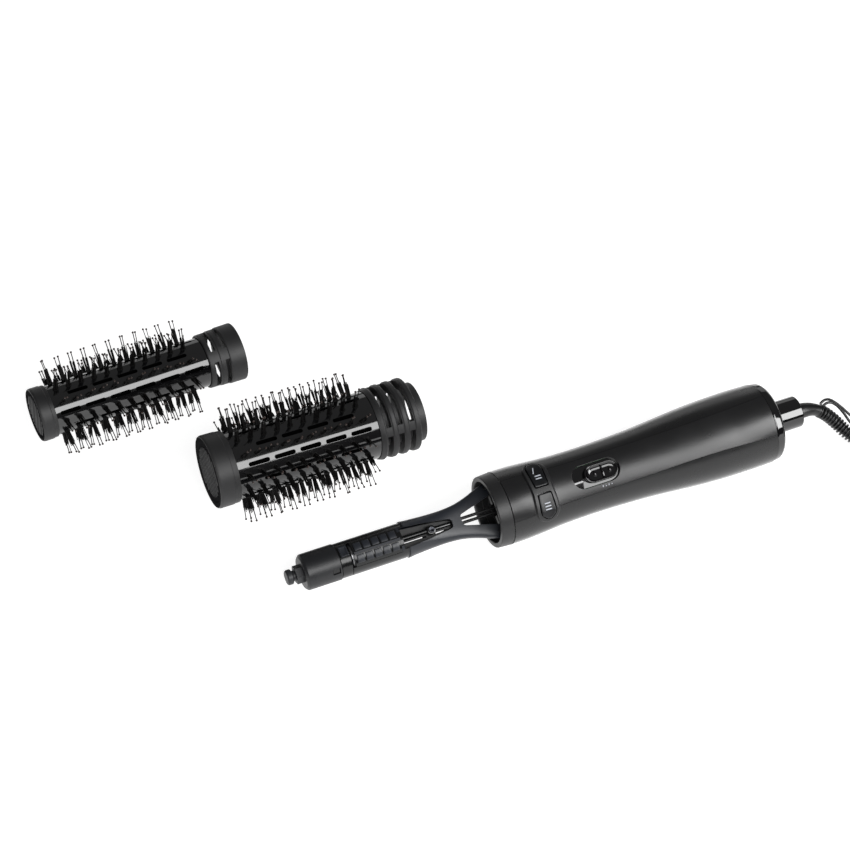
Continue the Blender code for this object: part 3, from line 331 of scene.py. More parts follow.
# the same plastic off a smoother mould wall, with soft highlights along the spindle
glossPbt = moulded("smooth blue-black PBT", "#090a0b", 0.2, grain=1.6, depth=0.012)
# the gear housing, a little darker and drier than the arms
darkPbt = moulded("dark grey PBT", "#121316", 0.4, grain=1.3)
# waxy, with a broad dim highlight on the pin
darkAcetal = moulded("dark grey acetal", "#202124", 0.46)
# bristles almost without shine, and pin tips that catch one brown glint each
bristleNylon = moulded("black nylon filament", "#060505", 0.6, grain=3, depth=0.0, shine=0.2)
tipNylon = moulded("dark brown melted nylon", "#24150f", 0.3, grain=3, depth=0.0)
# plain inner mouldings: dark and even
blackNylon = moulded("black nylon", "#0a0a0b", 0.5)
# cord and bend relief: rubbery, with a soft line of light along the top
softPvc = moulded("black PVC", "#0b0b0c", 0.36, grain=1.5)
# metals: drawn steel with blurred reflections, a dark screw, and warm brass
bareSteel = moulded("drawn steel", "#9a9a9c", 0.32, grain=0.8, depth=0.01, metal=1.0)
blackSteel = moulded("phosphated steel screw", "#3b3c40", 0.3, grain=0.8, depth=0.01, metal=1.0)
turnedBrass = moulded("turned brass", "#c8a05a", 0.28, grain=0.8, depth=0.01, metal=1.0)
# printed marks: flat and pale
greyPrint = moulded("pale grey pad print", "#a9adb5", 0.5, grain=1.0, depth=0.0)


def layered(name, first, second, roughness, size, kind="ShaderNodeTexNoise", sharp=(0.45, 0.55)):
    # two colours in a pattern whose features are size mm across
    made = moulded(name, first, roughness, grain=size)
    tree = made.node_tree
    where = addNode(tree, "ShaderNodeTexCoord").outputs["Object"]
    pattern = addNode(tree, kind, inputs={"Vector": where, "Scale": 1000 / size})
    value = pattern.outputs["Fac"] if "Fac" in pattern.outputs else pattern.outputs["Distance"]
    mix = addNode(tree, "ShaderNodeMapRange", inputs={
        "Value": value, "From Min": sharp[0], "From Max": sharp[1]})
    colours = addNode(tree, "ShaderNodeMix", {"data_type": "RGBA"}, {"Factor": mix.outputs["Result"]})
    colours.inputs["A"].default_value, colours.inputs["B"].default_value = rgb(first), rgb(second)
    result = next(o for o in colours.outputs if o.type == "RGBA")
    tree.links.new(result, tree.nodes["Principled BSDF"].inputs["Base Color"])
    return made


# muscovite board: pale flakes in a brown binder
micaBoard = layered("pressed mica board", "#8d7a5e", "#b7a482", 0.55, 1.2)
# green solder mask with paler copper tracks under it
circuitBoard = layered("solder mask on copper", "#0f3a1c", "#1d5a2e", 0.35, 1.6, "ShaderNodeTexVoronoi",
                       (0.3, 0.34))

# the CAD nodes that stay as they are, by finish
nodesOfFinish = [
    (micaBoard, ["heater_frame"]),
    (circuitBoard, ["control_board"]),
    (bareSteel, ["heating_coil", "heat_shield", "thermal_cutout", "fan_motor", "gear_motor", "ring_gear",
                 "sun_gear"]),
    (blackNylon, ["fan_impeller", "motor_mount", "intake_grille", "slide_switch", "left_microswitch",
                  "right_microswitch", "large_drive_socket", "small_drive_socket"]),
    (turnedBrass, ["planet_gear_1", "planet_gear_2", "planet_gear_3", "plug_pin_1", "plug_pin_2"]),
    (softPvc, ["plug_body"]),
]
for made, nodes in nodesOfFinish:
    for node in nodes:
        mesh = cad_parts[node].data
        mesh.materials.clear()
        mesh.materials.append(made)


print("cord")
cordFacts = {
    "diameter": 7.0, "length": 2.1, "exit": (278.2, -131.3, 5.0),
    "lead": [(278.2, -131.3, 5), (283, -138.5, 4.1), (289, -147.6, 3.6), (295.5, -157.3, 3.5),
             (304, -170.3, 3.5)],
    "coilCentre": (350, -158), "coilStart": 213.4, "turns": 7.405, "shift": 0.15,
    "rings": [(45, 3.5), (38, 3.5), (38, 10.5), (45, 10.5), (45, 17.5), (38, 17.5), (38, 24.5), (45, 24.5)],
    "tail": [(394.6, -146, 24), (395, -131.6, 21.4), (395, -122, 18.2), (395, -112, 14.8), (395, -103, 12.9),
             (395, -94.6, 12.4)],
}


def coilPoint(s):
    # the coil after s turns; each ring hands over to the next a little earlier than the one before
    radius, height = cordFacts["rings"][0]
    for k, (r, z) in enumerate(cordFacts["rings"][1:]):
        start = (k + 1) * (1 - cordFacts["shift"])
        t = min(max((s - start) / cordFacts["shift"], 0), 1)
        t = t * t * (3 - 2 * t)
        radius, height = radius + (r - radius) * t, height + (z - height) * t
    a = math.radians(cordFacts["coilStart"]) + full * s
    cx, cy = cordFacts["coilCentre"]
    return (cx + radius * math.cos(a), cy + radius * math.sin(a), height)


coilSteps = 24
wound = [coilPoint(i / coilSteps) for i in range(int(cordFacts["turns"] * coilSteps) + 1)]
route = cordFacts["lead"] + wound + cordFacts["tail"]
cord = tube("mains_cord", smoothRoute(route, 7), cordFacts["diameter"] / 2, softPvc, "cord_set",
            ("cord", "cord_tail", "cord_coil"), sides=4)

relief = {
    "route": [(237.4, -105.6, 27.9), (243, -105.6, 27.8), (249, -105.9, 26.6), (255, -107.2, 23.9),
              (260.3, -109.9, 19.9), (265, -113.8, 15.2), (269.3, -118.9, 10.6), (273.6, -124.7, 7),
              (278, -131, 5.1)],
    "neck": 5.4, "waist": 4.1, "neckShare": 0.30, "rib": 4.85, "groove": 3.2, "ribPitch": 2.5, "end": 4.2,
    "spacing": 0.35,
}
line = smoothRoute(relief["route"], relief["spacing"])
span = len(line) - 1
radii = []
for i in range(span + 1):
    share, travelled = i / span, i * relief["spacing"]
    if share < relief["neckShare"]:
        t = share / relief["neckShare"]
        radii.append(relief["neck"] + (relief["waist"] - relief["neck"]) * t * t * (3 - 2 * t))
    else:
        wave = math.sin(full * travelled / relief["ribPitch"])
        peak = relief["rib"] + (relief["end"] - relief["rib"]) * max(0, (share - 0.75) / 0.25)
        radii.append(relief["groove"] + (peak - relief["groove"]) * min(max(0.6 + 1.8 * wave, 0), 1))
sleeveRelief = tube("bend_relief", line, relief["neck"], softPvc, "cord_set", ("strain_relief",), radii,
                    sides=5)

loopRoute = [
    (259.5, -103.2, 22.6), (263, -102.4, 24.2), (267, -102.8, 23.6), (271, -104.6, 20.4), (274.6, -107.8, 15.4),
    (277.6, -112, 10), (280.6, -118.2, 6.8), (284.6, -125, 3), (289.4, -131.4, 1.3), (294.6, -134.6, 1.4),
    (298.2, -131.6, 1.4), (296.8, -126, 1.6), (291.4, -119.6, 2.8), (286, -113.4, 7.2), (281, -107.6, 10.6),
    (276, -103.6, 16), (271.2, -100.6, 20.6), (266.8, -99.2, 23.6), (262.6, -99.6, 24.6), (259.3, -100.6, 23.4),
]
hangingLoop = tube("hanging_cord_loop", smoothRoute(loopRoute, 1.2), 0.95, softPvc, "cord_set",
                   ("hanging_loop",))


def along(table, x):
    # a smooth curve through (x, value) pairs
    if x <= table[0][0]:
        return table[0][1]
    if x >= table[-1][0]:
        return table[-1][1]
    i = next(k for k in range(len(table) - 1) if table[k + 1][0] >= x)
    (x0, y0), (x1, y1) = table[i], table[i + 1]
    rise = (y1 - y0) / (x1 - x0)
    before = (y0 - table[i - 1][1]) / (x0 - table[i - 1][0]) if i else rise
    after = (table[i + 2][1] - y1) / (table[i + 2][0] - x1) if i + 2 < len(table) else rise
    m0, m1 = (before + rise) / 2, (after + rise) / 2
    t, w = (x - x0) / (x1 - x0), x1 - x0
    return ((2 * t**3 - 3 * t**2 + 1) * y0 + (t**3 - 2 * t**2 + t) * w * m0
            + (3 * t**2 - 2 * t**3) * y1 + (t**3 - t**2) * w * m1)


def spaced(low, high, count):
    return [low + (high - low) * i / count for i in range(count + 1)]


def woven(rows, columns, point):
    # a grid of rows by columns cells whose corner (i, j) is put at point(i, j), in mm
    bm = bmesh.new()
    bmesh.ops.create_grid(bm, x_segments=rows, y_segments=columns, size=1)
    for v in bm.verts:
        v.co = Vector(point(round((v.co.x + 1) / 2 * rows), round((v.co.y + 1) / 2 * columns))) * mm
    return bm


def closedUp(bm):
    # doubles merged and the open ends filled
    bmesh.ops.remove_doubles(bm, verts=bm.verts, dist=2e-6)
    bmesh.ops.holes_fill(bm, edges=[e for e in bm.edges if e.is_boundary], sides=0)
    return bm


def facingOut(obj):
    # an open strip round the X axis turned to face away from it
    lean = sum((p.normal.y * p.center.y + p.normal.z * p.center.z) * p.area for p in obj.data.polygons)
    if lean < 0:
        obj.data.flip_normals()
    return obj


handle = {
    "radius": [(9, 24.7), (20, 24.65), (32, 24.0), (45, 23.05), (62, 22.5), (75, 22.5), (92, 22.9),
               (112, 23.8), (132, 25.4), (150, 26.8), (168, 27.6), (188, 27.8), (201, 27.5)],
    "panelHalf": [(11, 14.2), (20, 14.1), (42, 12.8), (80, 12.3), (110, 12.1), (150, 12.1), (192, 13.8),
                  (201, 14.3)],
    "start": 9.3, "end": 201.0, "wall": 2.2, "seam": 0.1, "flat": 1.1,
}


def panelEdge(x, gap=0.0):
    return math.asin((along(handle["panelHalf"], x) + gap) / along(handle["radius"], x))


def onBody(x, angle, lift=0.0):
    # a point on the round body, which is flatter across the panel except near the two ends
    turned = (angle + math.pi) % full - math.pi
    share = min(abs(turned) / panelEdge(x), 1)
    ends = min(max((x - 14) / 24, 0), 1) * min(max((199 - x) / 24, 0), 1)
    r = along(handle["radius"], x) + lift - handle["flat"] * ends * (1 - share**2)
    return (x, r * math.sin(angle), r * math.cos(angle))


def wrapped(bm):
    # flat (x along the handle, y round it, z out of it) bent onto the body
    for v in bm.verts:
        x, u, h = v.co / mm
        v.co = Vector(onBody(x, u / along(handle["radius"], x), h)) * mm
    return bm


def mound(outline, spine, layers):
    # rings round a closed outline of (y, x) points. Each is (share, grow, height): share shrinks it towards a
    # line reaching spine mm each way along Y, grow moves it outwards in mm, and height lifts it
    def point(i, j):
        share, grow, height = layers[i]
        u, v = outline[j % len(outline)]
        foot = Vector((min(max(u, -spine), spine), 0))
        out = Vector((u, v)) - foot
        place = foot + out * share + out.normalized() * grow * (share > 0)
        return (place.y, place.x, height)
    return woven(len(layers) - 1, len(outline), point)


def shifted(bm, x, y, z=0.0):
    bmesh.ops.translate(bm, verts=bm.verts, vec=Vector((x, y, z)) * mm)
    return bm


print("handle")
controls = {
    "bezelX": 33.3, "bezelHalf": 21.6, "bezelWidth": 16.1, "pinch": 0.07,
    "buttonArc": 10.9, "buttonSpine": 3.5, "wellGap": 0.7, "wellDepth": 6.0,
    "switchX": 72.5, "switchLength": 34.0, "switchWidth": 16.0, "switchDepth": 2.3, "floorOverlap": 1.6,
    "slider": (24.2, 12.8), "sliderX": 76.2, "sliderLift": 0.75,
}
# points along the two straight flanks, where the waist is drawn in
bezelRadius = controls["bezelWidth"] / 2
bezelSpine = controls["bezelHalf"] - bezelRadius
flank = [(-bezelSpine * (1 - 2 * i / 16), bezelRadius) for i in range(1, 16)]
endArc = [(bezelSpine + bezelRadius * math.cos(a), bezelRadius * math.sin(a))
          for a in [math.pi / 2 - math.pi * i / 24 for i in range(25)]]
bezelOutline = flank + endArc + [(-u, -v) for u, v in flank] + [(-u, -v) for u, v in endArc]
bezelOutline = [(u, v * (1 - controls["pinch"] * math.exp(-(u / 6) ** 2))) for u, v in bezelOutline]


def softPolygon(points, steps=6):
    # closed outline of (a, b, corner) points with each corner rounded over its own reach
    found = []
    for p, q, r in zip(points[-1:] + points[:-1], points, points[1:] + points[:1]):
        a, b, c = Vector(p[:2]), Vector(q[:2]), Vector(r[:2])
        start = b + (a - b).normalized() * min(q[2], (a - b).length * 0.49)
        end = b + (c - b).normalized() * min(q[2], (c - b).length * 0.49)
        for i in range(steps + 1):
            t = i / steps
            found.append(tuple((1 - t) ** 2 * start + 2 * t * (1 - t) * b + t**2 * end))
    return found


# the upper button is a tombstone and the lower one a shield, both with the square end towards the middle
buttonOutlines = {
    "right": softPolygon([(-8.6, -4.7, 1.3), (8.9, -5.5, 6.4), (8.9, 5.5, 6.4), (-8.6, 4.7, 1.3)]),
    "left": softPolygon([(8.6, 4.7, 1.3), (-4.4, 5.4, 2.6), (-9.2, 0, 4.2), (-4.4, -5.4, 2.6),
                         (8.6, -4.7, 1.3)]),
}
wellLayers = [(0, 0, -controls["wellDepth"]), (1, controls["wellGap"], -controls["wellDepth"]),
              (1, controls["wellGap"], 4), (0, 0, 4)]


# how far round the handle each button sits
buttonArc = {"right": controls["buttonArc"], "left": -controls["buttonArc"]}


def buttonMound(side, layers):
    bm = mound(buttonOutlines[side], controls["buttonSpine"], layers)
    return wrapped(shifted(bm, controls["bezelX"], buttonArc[side]))


# mouth ring: spark-eroded, with a rounded lip and a stepped bore
mouthProfile = eased([(0, 20.9), (0, 24.0), (3, 24.25), (8.9, 24.6), (8.9, 22.2), (14.1, 22.2), (14.1, 20.7),
                      (1.2, 20.7)], 0.6)
finish(loose("mouth", spun(mouthProfile, 96)), "mouth_ring_moulding", sparkAbs, "handle", handlePlace,
       ("mouth_ring",), even=True)

xs = spaced(handle["start"], handle["end"], 66)


def bodyStrip(low, high, columns):
    def point(i, j):
        return onBody(xs[i], low(xs[i]) + (high(xs[i]) - low(xs[i])) * j / columns)
    return facingOut(loose("strip", woven(len(xs) - 1, columns, point)))


shell = bodyStrip(lambda x: panelEdge(x, handle["seam"]), lambda x: full - panelEdge(x, handle["seam"]), 88)
wall(shell, handle["wall"] * mm)
panel = bodyStrip(lambda x: -panelEdge(x, -handle["seam"]), lambda x: panelEdge(x, -handle["seam"]), 30)
wall(panel, handle["wall"] * mm)
for side in ("right", "left"):
    carve(shell, buttonMound(side, wellLayers))
    carve(panel, buttonMound(side, wellLayers))
recess = bmesh.new()
stadium(recess, controls["switchLength"], controls["switchWidth"], (controls["switchX"], 0, 0), 12, 40,
        arc=24)
carve(panel, recess)
soften(shell, 0.65 * mm)
soften(panel, 0.65 * mm)
finish(shell, "body_shell_moulding", softTouch, "handle", handlePlace, ("handle_shell",), even=True)
finish(panel, "control_panel_moulding", panelTouch, "handle", handlePlace, ("top_panel",), even=True)

# raised button platform: a soft mound with two wells
bezelLayers = [(0, 0, -0.6), (1, 1.0, -0.6), (1, 1.0, 0.0), (1, 0.6, 0.1), (1, 0.3, 0.45), (1, 0.12, 0.95),
               (1, -0.05, 1.35), (1, -0.35, 1.62), (1, -0.8, 1.7), (0.72, 0, 1.7), (0.4, 0, 1.7), (0, 0, 1.7)]
bezel = loose("bezel", wrapped(shifted(mound(bezelOutline, bezelSpine, bezelLayers), controls["bezelX"], 0)))
for side in ("right", "left"):
    carve(bezel, buttonMound(side, wellLayers))
soften(bezel, 0.25 * mm, limit=50)
finish(bezel, "button_platform", sparkAbs, "handle", handlePlace, ("button_bezel",), even=True)

buttonLayers = [(0, 0, -3.2), (1, 0, -3.2), (1, 0, 1.75), (1, -0.12, 2.1), (1, -0.45, 2.3), (1, -0.9, 2.35),
                (0.7, 0, 2.25), (0.4, 0, 2.12), (0, 0, 2.05)]
for side in ("right", "left"):
    body = side + "_button_cap"
    cap = loose("cap", buttonMound(side, buttonLayers))
    finish(cap, side + "_button_cap", navyAbs, body, handlePlace, (side + "_button",), crease=50)
    # pale printed bars, and a slanted stroke on the upper button
    marks = bmesh.new()
    middles = (-1.6, 0.3, 2.2) if side == "left" else (-3.4, -1.5)
    for u in middles:
        block(marks, (controls["bezelX"] - 2.1, buttonArc[side] + u - 0.32, 1.95),
              (controls["bezelX"] + 2.1, buttonArc[side] + u + 0.32, 2.27))
    if side == "right":
        lean = (Matrix.Translation(Vector((controls["bezelX"] - 1.2, controls["buttonArc"] + 2.6, 0)) * mm)
                @ Matrix.Rotation(math.radians(68), 4, "Z"))
        block(marks, (-2.3, -0.34, 1.95), (2.3, 0.34, 2.27), lean)
    bmesh.ops.subdivide_edges(marks, edges=marks.edges, cuts=2, use_grid_fill=True)
    finish(loose("marks", wrapped(marks)), side + "_button_marks", greyPrint, body, handlePlace)

# slider: a glossy dish with a raised rim, a middle bar and two drop-shaped bumps, in a glossy recess
floorLift = -controls["switchDepth"]
floorZ = along(handle["radius"], controls["switchX"]) + floorLift - handle["flat"]


def racetrack(length, width, steps=64):
    # outline with round ends, as (along, across) points
    found = []
    for i in range(steps):
        a = full * i / steps
        reach = (length - width) / 2 * (1 if math.cos(a) >= 0 else -1)
        found.append((reach + width / 2 * math.cos(a), width / 2 * math.sin(a)))
    return found


def lengthwise(bm, x):
    # a mound's long side runs across the handle, so a quarter turn lays it along, bent onto the body at x
    bmesh.ops.rotate(bm, verts=bm.verts, cent=(0, 0, 0), matrix=Matrix.Rotation(math.pi / 2, 3, "Z"))
    return wrapped(shifted(bm, x, 0))


length, width = [controls[key] + controls["floorOverlap"] for key in ("switchLength", "switchWidth")]
floorLayers = [(0, 0, floorLift - 1.2), (1, 0, floorLift - 1.2)] + [(share, 0, floorLift)
                                                                    for share in (1, 0.8, 0.6, 0.4, 0.2, 0)]
track = lengthwise(mound(racetrack(length, width), (length - width) / 2, floorLayers), controls["switchX"])
for v in track.verts:
    # the far side of the floor stays level, over the edge of the board below it
    v.co.z += 0.9 * mm * max(v.co.y / (controls["switchWidth"] / 2 * mm), 0) ** 2
trackPiece = loose("track", track)
slot = bmesh.new()
stadium(slot, 14.4, 3.4, (controls["sliderX"] - 4.2, 0, 0), floorZ - 4, floorZ + 4)
carve(trackPiece, slot)
finish(trackPiece, "slider_recess_floor", glossAbs, "handle", handlePlace, ("slider_track",), crease=50)

length, width = controls["slider"]
top = controls["sliderLift"]
sliderLayers = [(0, 0, floorLift + 0.25), (1, -0.4, floorLift + 0.25), (1, 0, floorLift + 0.6),
                (1, 0, top - 0.9), (1, -0.25, top - 0.4), (1, -0.6, top - 0.05), (1, -0.95, top),
                (1, -1.25, top - 0.25), (1, -1.7, top - 0.95), (1, -2.3, top - 1.5), (0.5, 0, top - 1.9),
                (0.22, 0, top - 2.0), (0, 0, top - 2.0)]
slider = loose("slider", lengthwise(mound(racetrack(length, width), (length - width) / 2, sliderLayers),
                                    controls["sliderX"]))
finish(slider, "power_slider_cap", glossAbs, "slider", handlePlace, ("power_slider",), crease=60)
ridge = bmesh.new()
block(ridge, (-0.5, -3.6, top - 2.3), (0.5, 3.6, top - 0.55))
for x in (-5.3, 5.3):
    made = bmesh.ops.create_uvsphere(ridge, u_segments=20, v_segments=12, radius=1)["verts"]
    for v in made:
        pull = 1 - 0.45 * max(0, v.co.y)
        v.co = Vector((x + v.co.x * pull, v.co.y * 2.3, top - 1.95 + v.co.z * 1.15)) * mm
ridgePiece = loose("ridge", wrapped(shifted(ridge, controls["sliderX"] + 1.0, 0)))
soften(ridgePiece, 0.22 * mm, limit=60)
finish(ridgePiece, "slider_grip_bumps", glossAbs, "slider", handlePlace, crease=60)

# four small setting ticks beside the switch
ticks = bmesh.new()
for i in range(4):
    x = controls["switchX"] + 2.0 + 2.1 * i
    block(ticks, (x - 0.25, -10.6, -0.02), (x + 0.25, -9.4 - (0.5 if i % 2 else 0), 0.045))
finish(loose("ticks", wrapped(ticks)), "setting_ticks", greyPrint, "handle", handlePlace)

# rear ring, polished: a step line, a rounded shoulder and a dished rear face that holds the intake grille
rearProfile = eased([(195.3, 23.0), (195.3, 24.6), (201.3, 24.6), (201.3, 26.9), (202.3, 27.05),
                     (206.4, 26.6), (208.0, 25.2), (208.0, 22.9), (201.4, 22.9)], 0.7, 4)
finish(loose("rear", spun(rearProfile, 96)), "rear_ring_moulding", glossAbs, "handle", handlePlace,
       ("rear_ring",), even=True)

# swivel sleeve, polished, with its bearing groove hidden in the grille
sleeveProfile = eased([(198.8, 4.2), (198.8, 10.9), (201.6, 10.9), (201.6, 8.9), (204.9, 8.9), (204.9, 10.9),
                       (230.9, 10.75), (230.9, 5.0)], 0.7, 4)
finish(loose("sleeve", spun(sleeveProfile, 72)), "swivel_sleeve_moulding", glossAbs, "cord_set", handlePlace,
       ("swivel_sleeve",), even=True)

# stepped sleeve in the mouth, the bar the fork ends on and the brackets at its ends; the slotted dark disc
# across the mouth is painted shade, standing in for the dark inside of the mouth
outletProfile = eased([(5.0, 18.9), (5.0, 20.3), (19.7, 20.3), (19.7, 17.4), (9.2, 17.4), (9.2, 18.9)], 0.3, 2)
outlet = loose("outlet", spun(outletProfile, 96))
# painted shade: a plain dark slotted disc across the mouth, in place of the shade inside it
disc = bmesh.new()
acrossX = Matrix.Rotation(math.pi / 2, 4, "Y")
made = bmesh.ops.create_circle(disc, cap_ends=True, segments=64, radius=17.9 * mm,
                               matrix=Matrix.Translation((16.4 * mm, 0, 0)) @ acrossX)
raised = bmesh.ops.extrude_face_region(disc, geom=list({f for v in made["verts"] for f in v.link_faces}))
bmesh.ops.translate(disc, verts=[v for v in raised["geom"] if isinstance(v, bmesh.types.BMVert)],
                    vec=(1.4 * mm, 0, 0))
mouthShadeDisc = loose("mouthShadeDisc", disc)
slots = bmesh.new()
for i in range(8):
    turn = Matrix.Rotation(full * (i + 0.5) / 8, 4, "X")
    block(slots, (12, -2.6, 9.5), (22, 2.6, 15.6), turn)
block(slots, (12, -3.2, -1.6), (22, 3.2, 1.6))
carve(mouthShadeDisc, slots)
bars = bmesh.new()
block(bars, (5.2, -19.4, -1.7), (9.4, -4.0, 1.7))
block(bars, (5.2, 4.0, -1.7), (9.4, 19.4, 1.7))
for sign in (-1, 1):
    block(bars, (1.4, sign * 14.6 - 0.5, 4.6), (11.0, sign * 14.6 + 0.5, 6.0))
    block(bars, (9.8, sign * 14.6 - 0.5, 5.8), (11.2, sign * 14.6 + 0.5, 12.6))
    block(bars, (8.6, min(sign * 12.6, sign * 19.0), 4.6), (9.6, max(sign * 12.6, sign * 19.0), 5.6))
carve(outlet, bars, "UNION")
finish(outlet, "outlet_sleeve_moulding", blackNylon, "handle", handlePlace, ("outlet_sleeve",), even=True)
finish(mouthShadeDisc, "outlet_shade_disc", blackNylon, "handle", handlePlace)


print("spindle")
spindle = {
    "sections": [(-98.0, 11.5, 11.5, 2.0), (-61.5, 11.5, 11.5, 2.0), (-59.7, 11.5, 11.5, 2.0),
                 (-59.2, 12.1, 12.1, 2.0), (-58.4, 12.1, 12.1, 2.0), (-56.5, 11.8, 11.5, 2.1),
                 (-50, 11.3, 10.2, 2.3), (-40, 10.8, 7.6, 2.6), (-30, 10.7, 5.6, 3.2), (-20, 11.6, 4.6, 3.8),
                 (-10, 14.2, 4.2, 4),
                 (-3, 16.8, 4.0, 4), (4.6, 19.1, 4.0, 4)],
    "coverX": (-96.1, -64.1), "coverHalf": 8.3, "radius": 11.5, "padPitch": 6.0,
    "window": [(-19.0, 3.6, 2.2), (8.2, 11.0, 1.5), (8.2, -11.0, 1.5), (-19.0, -3.6, 2.2)],
    "screwX": -40.7, "lean": 9, "satinFrom": -59.3,
}
# each section's half width, half height and the power of its rounded outline
halfWidth = [(x, w) for x, w, h, p in spindle["sections"]]
halfHeight = [(x, h) for x, w, h, p in spindle["sections"]]
power = [(x, p) for x, w, h, p in spindle["sections"]]


def forkPoint(x, angle, shrink=0.0):
    w, h, p = along(halfWidth, x) - shrink, along(halfHeight, x) - shrink, along(power, x)
    c, s = math.cos(angle), math.sin(angle)
    return (x, w * abs(s) ** (2 / p) * (1 if s >= 0 else -1), h * abs(c) ** (2 / p) * (1 if c >= 0 else -1))


def halfFork(upper):
    # one moulded half: the outer skin over the inner one, closed at the split plane
    stations = spaced(-98.0, -61.5, 6) + [-60.4, -59.7, -59.2, -58.4] + spaced(-57.4, 4.6, 38)
    steps = 36
    angles = [(-math.pi / 2 + math.pi * j / steps) for j in range(steps + 1)]
    split = 0.1

    def skin(j, x, shrink):
        y, z = forkPoint(x, angles[j], shrink)[1:]
        return (x, y, max(z, split))

    def point(i, j):
        x = stations[i]
        wallHere = min(1.8, along(halfHeight, x) * 0.45)
        if steps < j <= 2 * steps + 1:
            return skin(2 * steps + 1 - j, x, wallHere)
        return skin(j if j <= steps else 0, x, 0)
    bm = woven(len(stations) - 1, 2 * steps + 2, point)
    if not upper:
        bmesh.ops.scale(bm, vec=(1, 1, -1), verts=bm.verts)
    closedUp(bm)
    bmesh.ops.recalc_face_normals(bm, faces=bm.faces)
    return loose("fork", bm)


def slitted(piece):
    # narrow slits straight through, on one side of the conduit
    turn = Matrix.Rotation(math.radians(spindle["lean"]), 4, "X")
    for low, high in ((-61.0, -44.2), (-37.6, -29.6)):
        slit = bmesh.new()
        block(slit, (low, -2.95, -20), (high, -1.95, 20), turn)
        carve(piece, slit)


fork = {"upper_fork_moulding": halfFork(True), "lower_fork_moulding": halfFork(False)}
for name, piece in fork.items():
    top = name.startswith("upper")
    # the windows between the arms
    opening = bmesh.new()
    outlined(opening, softPolygon(spindle["window"]), -20, 20)
    carve(piece, opening)
    if top:
        cut = bmesh.new()
        block(cut, (spindle["coverX"][0] - 4, -spindle["coverHalf"], 4),
              (spindle["coverX"][1], spindle["coverHalf"], 20))
        carve(piece, cut)
        trough = bmesh.new()
        outlined(trough, softPolygon([(-62.2, -7.2, 0.8), (-43.5, -5.4, 1), (-25.6, -3.0, 2.4),
                                      (-25.6, 3.0, 2.4), (-43.5, 5.4, 1), (-62.2, 7.2, 0.8)]), 1.0, 20)
        carve(piece, trough)
    slitted(piece)
    step = spun([(-59.6, 11.35), (-59.6, 13.5), (-59.0, 13.5), (-59.0, 11.35)], 96)
    carve(piece, step)
    soften(piece, 0.3 * mm, limit=42)
    middles = [p.center.x for p in piece.data.polygons]
    finish(piece, name, blueGreyPbt, "handle", handlePlace,
           ("spindle_front_shell",) if top else ("spindle_back_shell",), even=True)
    piece.data.materials.append(glossPbt)
    for polygon, middle in zip(piece.data.polygons, middles):
        polygon.material_index = 1 if middle < spindle["satinFrom"] * mm else 0

# dark floor of the trough, the conduit that crosses it, and the boss with its screw
conduit = bmesh.new()
conduitLength = 45
bmesh.ops.create_cone(conduit, cap_ends=True, segments=20, radius1=1.75 * mm, radius2=1.15 * mm,
                      depth=conduitLength * mm, matrix=Matrix.Translation(Vector((-41.5, 0.2, 1.6)) * mm)
                      @ Matrix.Rotation(math.pi / 2, 4, "Y"))
for v in conduit.verts:
    sink = (v.co.x / mm + 64) / conduitLength
    v.co.z += (3.4 * (1 - sink)) * mm
bmesh.ops.create_cone(conduit, cap_ends=True, segments=36, radius1=3.3 * mm, radius2=2.9 * mm, depth=3.6 * mm,
                      matrix=Matrix.Translation(Vector((spindle["screwX"], 0, 4.4)) * mm))
conduitPiece = loose("conduit", conduit)
soften(conduitPiece, 0.25 * mm, limit=50)
finish(conduitPiece, "wire_conduit", glossPbt, "handle", handlePlace)
liner = bmesh.new()
outlined(liner, softPolygon([(-61.9, -6.9, 0.8), (-43.5, -5.1, 1), (-25.9, -2.7, 2.2), (-25.9, 2.7, 2.2),
                             (-43.5, 5.1, 1), (-61.9, 6.9, 0.8)]), 1.05, 1.5)
linerPiece = loose("liner", liner)
slitted(linerPiece)
finish(linerPiece, "trough_liner", blackNylon, "handle", handlePlace)
screw = bmesh.new()
bmesh.ops.create_cone(screw, cap_ends=True, segments=32, radius1=2.3 * mm, radius2=2.1 * mm, depth=1.1 * mm,
                      matrix=Matrix.Translation(Vector((spindle["screwX"], 0, 6.5)) * mm))
screwPiece = loose("screw", screw)
for reachX, reachY in ((1.5, 0.3), (0.3, 1.5)):
    bar = bmesh.new()
    block(bar, (spindle["screwX"] - reachX, -reachY, 6.5), (spindle["screwX"] + reachX, reachY, 8))
    carve(screwPiece, bar)
soften(screwPiece, 0.18 * mm, limit=50)
finish(screwPiece, "cross_head_screw", blackSteel, "handle", handlePlace, ("spindle_screw",))

# motor cover: a strip of the same round, with two rows of pads and a rib between them
coverAngle = math.asin((spindle["coverHalf"] - 0.25) / spindle["radius"])


coverStations, coverColumns, coverRadius = spaced(*spindle["coverX"], 16), 24, spindle["radius"] + 0.15


def coverPoint(i, j):
    angle = -coverAngle + (coverAngle + coverAngle) * j / coverColumns
    return (coverStations[i], coverRadius * math.sin(angle), coverRadius * math.cos(angle))


